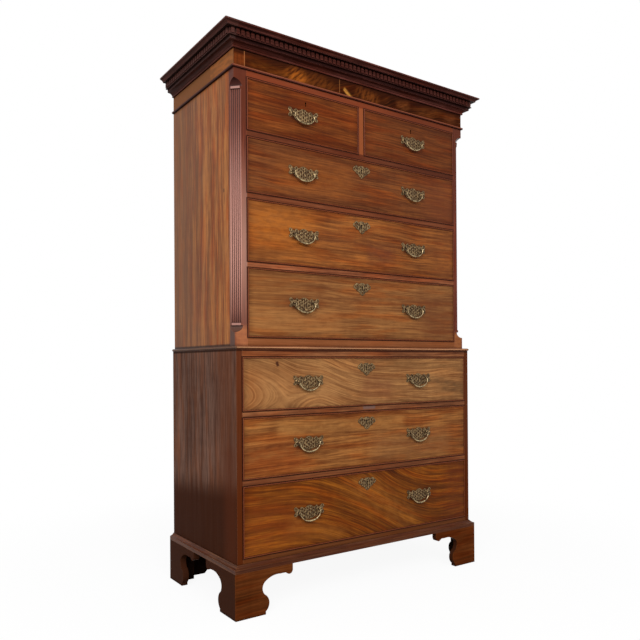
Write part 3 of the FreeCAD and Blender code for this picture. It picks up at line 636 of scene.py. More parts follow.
@dataclass(frozen=True)
class Cant:
    """The colours of a canted corner, its flutes, hollow and run-out, much of them painted light.

    half is half the case's width, and front is its front's y. The flutes lie a pitch apart
    between foot and head, with a ledge of the height cap beyond each end that has a painted
    highlight. The shaft is paled by wear and a painted sheen, most between the two heights of
    the sheen and hardly above the height where it ends. Its grooves are darkened by soiling and
    painted shade, it is darker still up to low above the foot, and the hollow and the run-out
    have painted shade. line is the width of the soft lines.
    """

    half: float = 0.522
    front: float = -0.219
    pitch: float = 0.0066
    flutes: int = 5
    foot: float = 0.943
    head: float = 1.702
    cap: float = 0.008
    rub_and_sheen: tuple[float, float] = (1.20, 1.34)
    rub_and_sheen_end: float = 1.64
    low: float = 0.05
    line: float = 0.001
    # painted highlight on the ledge, sheen on the ridge and shade in the hollows, with wear and soiling too
    ledge: Levels = (176, 134, 124)
    ridge: Levels = (206, 150, 136)
    dirt_and_shade: Levels = (46, 20, 16)
    hollow: Levels = (50, 24, 22)
    run_out: Levels = (54, 28, 20)

    def laid(self, g: Graph, colour: Socket) -> Socket:
        """Lays the colours over the board's.

        A point is on the cut where it lies inside both the side and the front. Across the cut,
        a flute is where the cosine of the way over the pitch is high.

        Args:
            g: the material's graph.
            colour: the colour output below.

        Returns:
            The colour output with the corner's colours.
        """
        x, y, z = g.parts(g.place())
        foot, head, line = self.foot, self.head, self.line
        inward = g.minus(self.half, g.size(x))
        back = g.minus(y, self.front)
        cut = g.ramp(g.maths("MINIMUM", inward, back), 0.3 * line, line)
        across = g.times(g.minus(back, inward), math.sqrt(0.5))
        wave = g.maths("COSINE", g.times(across, 2 * math.pi / self.pitch))
        edge = self.pitch * self.flutes / 2
        inside = g.ramp(g.size(across), edge - 0.4 * line, edge + 0.4 * line, 1.0, 0.0)
        shaft = g.times(g.ramp(z, foot - line, foot), g.ramp(z, head, head + line, 1.0, 0.0), cut)
        rub_and_sheen_from, rub_and_sheen_to = self.rub_and_sheen
        rubbed_and_sheen = g.times(g.ramp(z, foot, rub_and_sheen_from, 0.2, 1.0), g.ramp(z, rub_and_sheen_to, self.rub_and_sheen_end, 1.0, 0.15))
        worn_and_sheen = g.times(rubbed_and_sheen, shaft)
        flute = g.times(g.ramp(wave, 0.0, 0.4), inside, shaft)
        low = g.times(g.ramp(z, foot, foot + self.low, 1.0, 0.0), shaft)
        over = g.times(g.ramp(z, head + self.cap, head + self.cap + line), cut)
        under = g.times(g.ramp(z, foot - self.cap - line, foot - self.cap, 1.0, 0.0), cut)
        caps = g.maths("SUBTRACT", g.minus(cut, shaft), g.plus(over, under), clamp=True)
        # painted sheen, groove shade with soiling, darker foot, shaded hollows and ledge highlight
        for mask, share, shade in (
            (worn_and_sheen, 0.55, self.ridge), (flute, 0.85, self.dirt_and_shade), (low, 0.4, self.dirt_and_shade),
            (over, 0.85, self.hollow), (under, 0.8, self.run_out), (caps, 0.6, self.ledge),
        ):
            colour = g.mix(g.times(mask, share), colour, tone(shade))
        return colour


def band(low_mm: float, high_mm: float, colour: Levels, share: float = 1.0, soft: float = 0.0012) -> Patch:
    """Gives a patch right round the case between two heights."""
    middle, half = (low_mm + high_mm) / 2 * MM, (high_mm - low_mm) / 2 * MM
    return Patch(0.0, middle, 2.0, half, colour, share, soft)


def surface(name: str) -> tuple[bpy.types.Material, Graph, bpy.types.Node]:
    """Starts a material.

    Args:
        name: its name.

    Returns:
        The material, its graph and its shader.
    """
    made = bpy.data.materials.new(name)
    made.use_nodes = True
    return made, Graph(made.node_tree), made.node_tree.nodes["Principled BSDF"]


def coat(
    g: Graph, shader: bpy.types.Node, age: dict[str, object], rough: Socket, height: Socket,
    relief: tuple[float, float],
) -> None:
    """Gives a shader an aged colour, a roughness and a fine relief.

    Args:
        g: the material's graph.
        shader: its shader.
        age: what the age group is fed with, by name.
        rough: the roughness output.
        height: the relief's output.
        relief: its strength and its depth.
    """
    strength, depth = relief
    bump = g.add("Bump", {"Strength": strength, "Distance": depth, "Height": height})
    g.feed(shader.inputs["Base Color"], g.add("Group", age, node_tree=AGE).outputs["Color"])
    g.feed(shader.inputs["Roughness"], rough)
    g.feed(shader.inputs["Normal"], bump.outputs[0])


@dataclass(frozen=True)
class Timber:
    """A polished timber: its colours, the run of its grain, its figure and its marks.

    sweep is where the grain starts and ends its rise, and how far it rises. arch is how much
    of it arches, where the arches' nose is along the board, and their middle up it. hollow
    gives the half width and the front of the space that is painted black as a shadow.
    """

    name: str
    pale: Levels
    middle: Levels
    dark: Levels
    grain: Grain = Grain.ACROSS
    streaks: float = 50.0
    sway: float = 0.02
    sway_size: float = 3.0
    sweep: tuple[float, float, float] = (0.0, 1.0, 0.0)
    arch: tuple[float, float, float] = (0.0, 0.0, 0.0)
    contrast: float = 0.32
    curl: float = 0.25
    fine: float = 0.65
    patina: float = 0.7
    ruddy: float = 0.8
    rough: float = 0.34
    gloss: float = 0.05
    edge: float = 0.45
    corner: float = 0.85
    hollow: tuple[float, float] = (0.0, 0.0)
    seed: float = 0.0
    patches: tuple[Patch | Cant, ...] = ()

    def board(self, g: Graph) -> Socket:
        """Gives the place on the board, with X along the grain.

        Args:
            g: the material's graph.

        Returns:
            The vector output.
        """
        x, y, z = g.parts(g.place())
        order = {Grain.ACROSS: (x, z, y), Grain.UP: (z, x, y), Grain.DEEP: (y, z, x), Grain.ROUND: (x, z, y)}
        first = g.vector(*order[self.grain])
        if self.grain is not Grain.ROUND:
            return first
        facing_x, facing_y, _ = g.parts(g.add("NewGeometry").outputs["Normal"])
        sideways = g.maths("GREATER_THAN", g.size(facing_x), g.size(facing_y))
        inputs = {0: sideways, 4: first, 5: g.vector(y, z, x)}
        return g.add("Mix", inputs, data_type="VECTOR").outputs[1]

    def shadowed_hollow(self, g: Graph, colour: Socket) -> Socket:
        """Lays a painted shadow in the hollow.

        Args:
            g: the material's graph.
            colour: the colour output below it.

        Returns:
            The colour output with the painted shadow.
        """
        x, y, _ = g.parts(g.place())
        half, front = self.hollow
        soft = 0.002
        inside = g.times(g.ramp(g.size(x), half - soft, half, 1.0, 0.0), g.ramp(y, front, front + soft))
        return g.mix(g.times(inside, 0.85), colour, tone(HOLLOW_SHADOW))

    def material(self) -> bpy.types.Material:
        """Builds the material.

        Returns:
            The new material.
        """
        made, g, shader = surface(self.name)
        start, end, rise = self.sweep
        arch, nose, middle = self.arch
        values = {
            "Vector": self.board(g), "Pale": tone(self.pale), "Middle": tone(self.middle),
            "Dark": tone(self.dark), "Streaks": self.streaks, "Sway": self.sway,
            "Sway Size": self.sway_size, "Sweep Start": start, "Sweep End": end, "Sweep Rise": rise,
            "Arch": arch, "Arch Nose": nose, "Arch Middle": middle, "Contrast": self.contrast,
            "Curl": self.curl, "Fine": self.fine, "Patina": self.patina, "Ruddy": self.ruddy,
            "Seed": self.seed,
        }
        figure = g.add("Group", values, node_tree=TIMBER)
        colour = figure.outputs["Color"]
        for patch in self.patches:
            colour = patch.laid(g, colour)
        if self.hollow[0]:
            colour = self.shadowed_hollow(g, colour)
        age = {"Color": colour, "Rubbed": tone(self.pale), "Edge": self.edge, "Corner": self.corner}
        rough = g.ramp(figure.outputs["Gloss"], 0.3, 0.7, self.rough - 0.06, self.rough + 0.08)
        coat(g, shader, age, rough, figure.outputs["Height"], (0.12, 0.0004))
        shader.inputs["Specular IOR Level"].default_value = self.gloss
        return made


@dataclass(frozen=True)
class Metal:
    """A cast metal, with painted shade on its rims and, with soiling, in its hollows.

    Its edges are pale where hands touch them, with wear and a painted highlight.
    """

    name: str
    bright: Levels
    dull_and_rim_shade: Levels
    rough: float

    def material(self) -> bpy.types.Material:
        """Builds the material.

        Returns:
            The new material.
        """
        made, g, shader = surface(self.name)
        place = g.place()
        tarnish = g.noise(place, 160.0, 3.0, 0.6)
        spots = g.noise(place, 900.0, 2.0)
        # painted shade: rims that turn from the view take the dark colour
        slant = g.add("LayerWeight", {"Blend": 0.5}).outputs["Facing"]
        share = g.times(g.ramp(tarnish, 0.35, 0.65), g.minus(1.0, g.ramp(slant, 0.25, 0.8)))
        colour = g.mix(share, tone(self.dull_and_rim_shade), tone(self.bright))
        age = {"Color": colour, "Rubbed": tone(self.bright), "Edge": 0.8, "Corner": 0.95, "Reach": 0.006}
        rough = g.ramp(spots, 0.3, 0.7, self.rough - 0.08, self.rough + 0.12)
        coat(g, shader, age, rough, g.plus(tarnish, spots), (0.25, 0.0003))
        shader.inputs["Metallic"].default_value = 0.85
        return made


# ------------------------------------------------------------------ brasses
@dataclass
class Brasses:
    """The handles, escutcheons and locks of the drawers."""

    plate_finish: Metal = Metal("brass_plate", (140, 114, 78), (56, 40, 26), 0.42)
    grip_finish: Metal = Metal("brass_grip", (190, 168, 126), (84, 64, 42), 0.36)
    thickness_mm: float = 1.6
    edge_mm: float = 0.35
    post_spread_mm: float = 46.0
    bail_drop_mm: float = 31.0
    bail_thin_mm: float = 2.0
    bail_swell_mm: float = 1.4
    grip_half_mm: float = 34.0
    lock_mm: tuple[float, float, float] = (56.0, 11.0, 58.0)
    lock_edge_mm: float = 0.4
    slot_mm: tuple[float, float, float] = (18.8, 4.8, 26.0)
    front_mm: float = 20.0

    def __post_init__(self) -> None:
        """Builds the two brasses and the shapes that repeat."""
        self.flat = self.plate_finish.material()
        self.rubbed_and_sheen = self.grip_finish.material()
        self.plate = self.handle_plate()
        self.post = self.turned_post()
        self.shield = self.escutcheon()
        self.loop = self.bail()

    def pierced(self, half: list, middle: list, right: list, *more: np.ndarray) -> Shape:
        """Saws a plate with its piercings.

        Args:
            half: the outline's right half in mm, from the top middle down.
            middle: the holes on the middle line.
            right: the holes on its right, which are repeated on its left.
            more: other holes, as loops.

        Returns:
            The plate.
        """
        outer = flowing(mirrored_loop(np.array(half)), 3, True)
        holes = [almond(*hole) for hole in middle + right]
        holes += [almond(-x, z, wide, high, -tilt) for x, z, wide, high, tilt in right]
        loops = [loop * MM for loop in (outer, *more, *holes)]
        return sawn_plate(loops, self.thickness_mm * MM, self.edge_mm * MM)

    def handle_plate(self) -> Shape:
        """Draws the pierced plate behind a handle, about the middle between its posts.

        Returns:
            The plate.
        """
        half = [
            (0, 20), (7, 19.2), (13, 15.5), (19, 12), (25, 14), (30, 17.5), (35, 14.5), (39, 10), (45, 12),
            (50, 17), (56, 19), (61, 14.5), (60, 8), (56, 4), (57, -2), (61, -7), (59, -12.5), (53, -13.5),
            (47, -9.5), (41, -9), (37, -13.5), (32, -19), (25, -21), (19, -21.5), (13, -24.5), (6, -25.5),
            (0, -27),
        ]
        right = [
            (9.0, 11.0, 2.5, 4.2, 30), (19.0, 5.0, 2.6, 4.4, -20), (29.0, 10.5, 2.3, 4.4, 15),
            (9.5, -1.0, 2.5, 4.4, -25), (19.0, -8.0, 2.6, 4.6, 25), (29.5, -2.5, 2.4, 4.8, -10),
            (9.5, -14.5, 2.4, 4.0, 30), (28.5, -14.5, 2.3, 3.6, -35), (55.0, 12.5, 1.9, 3.4, 20),
            (55.0, -8.0, 1.8, 3.0, -20), (38.0, 1.0, 1.6, 3.2, 0), (18.5, -17.5, 1.8, 2.4, 70),
        ]
        middle = [
            (0, 15.0, 2.1, 3.0, 0), (0, 5.0, 2.4, 4.6, 0), (0, -8.0, 2.5, 4.8, 0), (0, -20.5, 2.1, 3.6, 0),
        ]
        return self.pierced(half, middle, right)

    def turned_post(self) -> Shape:
        """Draws one post with its flange, neck and ball, standing on the plate.

        Returns:
            The post.
        """
        profile = np.array([
            (6.6, 0), (6.6, 0.8), (5.2, 1.6), (3.4, 2.6), (2.9, 5.0), (3.3, 6.8), (4.6, 8.2), (5.0, 10.0),
            (4.6, 12.0), (3.4, 13.3), (1.8, 13.9), (0.4, 14.0),
        ])
        return turned(profile * MM)

    def escutcheon(self) -> Shape:
        """Draws the pierced shield about its keyhole.

        Returns:
            The shield.
        """
        half = [
            (0, 15), (7, 15), (12, 11.5), (17, 11), (22, 14.5), (28, 13.5), (33, 8.5), (38.5, 5), (39.5, -2),
            (35, -7), (29, -8.5), (25, -13), (19, -16), (14, -19), (10, -25), (5, -27.5), (0, -31),
        ]
        key = [(-1.7, -12), (1.7, -12), (1.7, -3), (3.5, 0), (1.7, 3.3), (-1.7, 3.3), (-3.5, 0), (-1.7, -3)]
        right = [
            (10.5, 3.5, 2.2, 4.6, 15), (21.0, 5.0, 2.6, 4.4, -25), (31.5, 0.5, 2.6, 4.6, 35),
            (10.0, -11.0, 2.2, 4.4, -20), (20.5, -7.0, 2.2, 4.6, 20),
        ]
        return self.pierced(half, [(0, -21.5, 2.2, 4.4, 0)], right, np.array(key))

    def bail(self) -> Shape:
        """Draws the bail about its pins: thin at the pins and swelling to the grip.

        Returns:
            The bail.
        """
        half = np.array([
            (47, 0), (42, 0), (39.8, -1.2), (39.4, -5), (38.4, -10.5), (35.6, -16), (29.5, -22),
            (20.5, -27.2), (10.5, -30.1), (0, -self.bail_drop_mm),
        ])
        path = flowing(np.vstack([half, (half * [-1, 1])[-2::-1]]), 5, False)
        swell = np.clip(1 - (path[:, 0] / self.grip_half_mm) ** 2, 0, 1)
        return bar(path * MM, (self.bail_thin_mm + self.bail_swell_mm * swell) * MM)

    def lock(self) -> Shape:
        """Draws the lock's case, open at the top where the bolt rises between its two walls.

        Returns:
            The case.
        """
        width, depth, height = self.lock_mm
        across, along, deep = self.slot_mm
        square = np.array([(-width / 2, 0), (width / 2, 0), (width / 2, -height), (-width / 2, -height)])
        notch = np.array([(-across / 2, 0), (-across / 2, -deep), (across / 2, -deep), (across / 2, 0)])
        notched = np.vstack([square[:1], notch, square[1:]])
        hole = almond(0, -height * 0.6, 2.0, 5.0, 0)
        wall = (depth - along) / 2
        layers = ((square, wall, 0.0), (notched, along, wall), (square, wall, wall + along))
        return together([
            sawn_plate([outer * MM, hole * MM], thick * MM, self.lock_edge_mm * MM).moved((0, -start * MM, 0))
            for outer, thick, start in layers
        ])

    def fit(
        self, name: str, face: float, keyhole: tuple[float, float], pins: dict[str, tuple], top: float
    ) -> None:
        """Puts the brasses on one drawer. A drawer with two handles has an escutcheon too.

        Args:
            name: the drawer's name.
            face: the drawer front's y.
            keyhole: its x and z.
            pins: each bail's node name and the middle of its pins.
            top: z of the drawer front's top edge.
        """
        front = face - self.thickness_mm * MM
        shapes = [self.lock().moved((keyhole[0], face + self.front_mm * MM, top))]
        for x, _, z in pins.values():
            shapes.append(self.plate.moved((x, face, z)))
            shapes += [self.post.moved((x + side * self.post_spread_mm * MM, front, z)) for side in (-1, 1)]
        if len(pins) > 1:
            shapes.append(self.shield.moved((keyhole[0], face, keyhole[1])))
        fixed = together(shapes).piece(f"{name}_brasswork", self.flat)
        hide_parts(f"{name}_brasses")
        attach(fixed, f"{name}_drawer")
        for node, place in pins.items():
            swung = self.loop.moved(place).piece(f"{node}_loop", self.rubbed_and_sheen)
            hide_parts(node)
            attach(swung, f"{node}_body")


def wear(node: str, finish: bpy.types.Material) -> None:
    """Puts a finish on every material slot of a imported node."""
    for place in frame["nodes"][node].material_slots:
        place.material = finish


def front_box(name: str) -> tuple[float, float, float, float]:
    """Gives the middle (x, z) and the half width and half height of a drawer's front."""
    low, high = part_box(f"{name}_front")
    return (low.x + high.x) / 2, (low.z + high.z) / 2, (high.x - low.x) / 2, (high.z - low.z) / 2


# ------------------------------------------------------------------ drawers
# tones differ by veneer and also by painted shade, darker near the top and bottom and at right ends
FRONT_TIMBERS = {
    "short_left": Timber("front_short_left", (135, 71, 28), (99, 49, 18), (68, 29, 12), seed=1.1),
    "short_right": Timber("front_short_right", (126, 66, 29), (96, 50, 22), (68, 31, 15), seed=2.3),
    "upper_top": Timber("front_upper_top", (139, 79, 35), (104, 58, 30), (72, 35, 17), seed=3.7, patches=(
        Patch(-0.2, 1.464, 0.16, 0.05, (150, 84, 34), 0.45, 0.1, uneven=0.5),
        Patch(0.42, 1.44, 0.1, 0.09, (104, 50, 30), 0.5, 0.12, uneven=0.4),
    )),
    "upper_middle": Timber(
        "front_upper_middle", (167, 100, 45), (125, 74, 36), (87, 44, 20), seed=5.2, patches=(
            Patch(-0.34, 1.27, 0.13, 0.07, (182, 104, 36), 0.55, 0.12, uneven=0.5),
            Patch(0.1, 1.25, 0.3, 0.022, (92, 48, 28), 0.5, 0.05, uneven=0.6),
            Patch(0.09, 1.215, 0.06, 0.03, (88, 46, 36), 0.5, 0.05, uneven=0.5),
            Patch(0.43, 1.24, 0.06, 0.1, (98, 50, 28), 0.5, 0.1, uneven=0.4),
        ),
    ),
    "upper_bottom": Timber(
        "front_upper_bottom", (164, 110, 60), (128, 83, 46), (94, 52, 27), seed=6.4, patches=(
            Patch(0.05, 1.035, 0.4, 0.02, (96, 52, 28), 0.5, 0.04, 2.0, uneven=0.6),
            Patch(-0.3, 0.955, 0.2, 0.035, (164, 110, 62), 0.45, 0.06, uneven=0.5),
            Patch(-0.4, 1.08, 0.08, 0.05, (120, 70, 34), 0.5, 0.08, uneven=0.5),
            Patch(0.4, 0.98, 0.12, 0.1, (104, 60, 36), 0.5, 0.14, uneven=0.4),
        ),
    ),
    "lower_top": Timber(
        "front_lower_top", (186, 132, 79), (140, 96, 57), (100, 58, 30), seed=7.9, sway=0.035,
        sway_size=3.0, sweep=(-0.26, 0.04, 0.07), arch=(0.6, -0.29, 0.745), streaks=46, contrast=0.22,
        ruddy=0.3, patches=(
            Patch(-0.3, 0.72, 0.16, 0.05, (182, 130, 80), 0.4, 0.1, -6.0, uneven=0.5),
            Patch(-0.47, 0.72, 0.03, 0.07, (150, 84, 40), 0.4, 0.1, uneven=0.4),
            Patch(0.05, 0.72, 0.07, 0.035, (118, 68, 44), 0.5, 0.05, -8.0, uneven=0.5),
            Patch(0.42, 0.73, 0.11, 0.012, (84, 60, 38), 0.65, 0.02, -9.0, uneven=0.6),
            Patch(0.46, 0.7, 0.08, 0.01, (84, 60, 38), 0.6, 0.02, -9.0, uneven=0.6),
            Patch(0.3, 0.8, 0.2, 0.012, (104, 72, 42), 0.5, 0.03, -3.0, uneven=0.6),
            Patch(-0.377, 0.809, 0.005, 0.008, (60, 28, 18), 0.9, 0.005, 20.0),
        ),
    ),
    "lower_middle": Timber(
        "front_lower_middle", (172, 112, 57), (127, 79, 40), (86, 42, 17), seed=9.3, sway=0.03,
        sway_size=2.6, patches=(
            Patch(-0.38, 0.5, 0.12, 0.05, (138, 66, 26), 0.55, 0.1, uneven=0.5),
            Patch(-0.4, 0.535, 0.1, 0.006, (78, 34, 16), 0.6, 0.01, 3.0, uneven=0.7),
            Patch(-0.36, 0.475, 0.12, 0.005, (84, 38, 18), 0.5, 0.01, 3.0, uneven=0.7),
            Patch(-0.1, 0.592, 0.28, 0.018, (176, 122, 66), 0.5, 0.04, uneven=0.5),
            Patch(0.22, 0.5, 0.2, 0.05, (140, 96, 58), 0.45, 0.08, uneven=0.4),
        ),
    ),
    "lower_bottom": Timber(
        "front_lower_bottom", (154, 89, 26), (107, 56, 15), (70, 32, 8), seed=11.6, sway=0.05,
        sway_size=2.4, sweep=(-0.34, 0.4, 0.26), streaks=42, contrast=0.45, patches=(
            Patch(-0.4, 0.28, 0.12, 0.09, (122, 58, 22), 0.5, 0.12, uneven=0.5),
            Patch(0.08, 0.3, 0.19, 0.03, (166, 106, 48), 0.42, 0.13, -32.0, uneven=0.6),
            Patch(-0.22, 0.235, 0.12, 0.03, (150, 90, 38), 0.4, 0.05, -18.0, uneven=0.5),
            Patch(0.46, 0.3, 0.06, 0.12, (92, 42, 20), 0.5, 0.08, uneven=0.4),
        ),
    ),
}


@dataclass
class Drawers:
    """The drawers' fronts and linings, with their brasses."""

    brasses: Brasses
    bead_mm: tuple[float, float] = (3.0, 2.5)
    key_down_mm: float = 36.0
    handle_shade_and_dirt: tuple[float, float] = (0.05, 0.019)
    shield_shade_and_dirt: tuple[float, float] = (0.027, 0.013)
    shade_and_dirt_share: float = 0.72
    bead: Levels = (112, 54, 36)
    fronts: dict[str, Timber] = field(default_factory=FRONT_TIMBERS.copy)
    lining: Timber = Timber(
        "drawer_lining_oak", (176, 140, 96), (152, 116, 76), (118, 84, 52), Grain.DEEP, rough=0.6, gloss=0.0,
        edge=0.2, corner=0.5,
    )
    bolt: Metal = Metal("lock_steel", (150, 146, 140), (78, 72, 66), 0.45)

    def marks(self, name: str, keyhole: tuple[float, float], pins: dict[str, tuple]) -> tuple[Patch, ...]:
        """Gives every drawer front's soiling and painted shade at its edges and brasses, and its dark bead.

        Args:
            name: the drawer's name.
            keyhole: its x and z.
            pins: each bail's node name and the middle of its pins.

        Returns:
            The patches, in the order in which they are laid.
        """
        x, z, half_width, half_height = front_box(name)
        bead, proud = (size * MM for size in self.bead_mm)

        def rim(width: float, colour: Levels, share: float, soft: float, uneven: float = 0.0) -> Patch:
            """Gives a patch on the outermost width of the front."""
            half_sizes = (half_width - width, half_height - width)
            return Patch(x, z, *half_sizes, colour, share, soft, outside=True, uneven=uneven)

        # darker towards the front's edges
        out = [rim(5 * bead, GRIME_AND_SHADE, 0.35, 9 * bead, 0.5)]
        # soiling and a painted shadow behind and below each handle
        for pin in pins.values():
            out.append(Patch(pin[0], pin[2] - 0.003, *self.handle_shade_and_dirt, GRIME_AND_SHADE, self.shade_and_dirt_share, 0.014))
        if len(pins) > 1:
            # soiling and a painted shadow about the escutcheon
            down = keyhole[1] - 0.004
            out.append(Patch(keyhole[0], down, *self.shield_shade_and_dirt, GRIME_AND_SHADE, self.shade_and_dirt_share, 0.012))
        # a dark line at the bead's inner edge: soiling and painted shade in the corner
        out.append(rim(bead + 0.4 * proud, GRIME_AND_SHADE, 0.9, 0.3 * bead))
        out.append(rim(bead, self.bead, 1.0, 0.2 * bead))
        return tuple(out)

    def dress(self) -> None:
        """Gives every drawer its timber, brasses and bolt."""
        lining = self.lining.material()
        steel = self.bolt.material()
        hinges = [joint for joint in frame["joints"] if joint["type"] == "hinge"]
        swings = {joint["child"]: tuple(joint["pos_m"]) for joint in hinges}
        for name, timber in self.fronts.items():
            low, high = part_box(f"{name}_front")
            face = low.y + self.bead_mm[1] * MM
            keyhole = ((low.x + high.x) / 2, high.z + (OPENING_GAP_MM - self.key_down_mm) * MM)
            bails = [node for node in frame["nodes"] if node.startswith(f"{name}_bail")]
            pins = {node: swings[f"{node}_body"] for node in bails}
            patches = timber.patches + self.marks(name, keyhole, pins)
            wear(f"{name}_front", replace(timber, patches=patches).material())
            wear(f"{name}_box", lining)
            wear(f"{name}_bolt", steel)
            self.brasses.fit(name, face, keyhole, pins, high.z)
            log.info("%s: %d handles", name, len(pins))


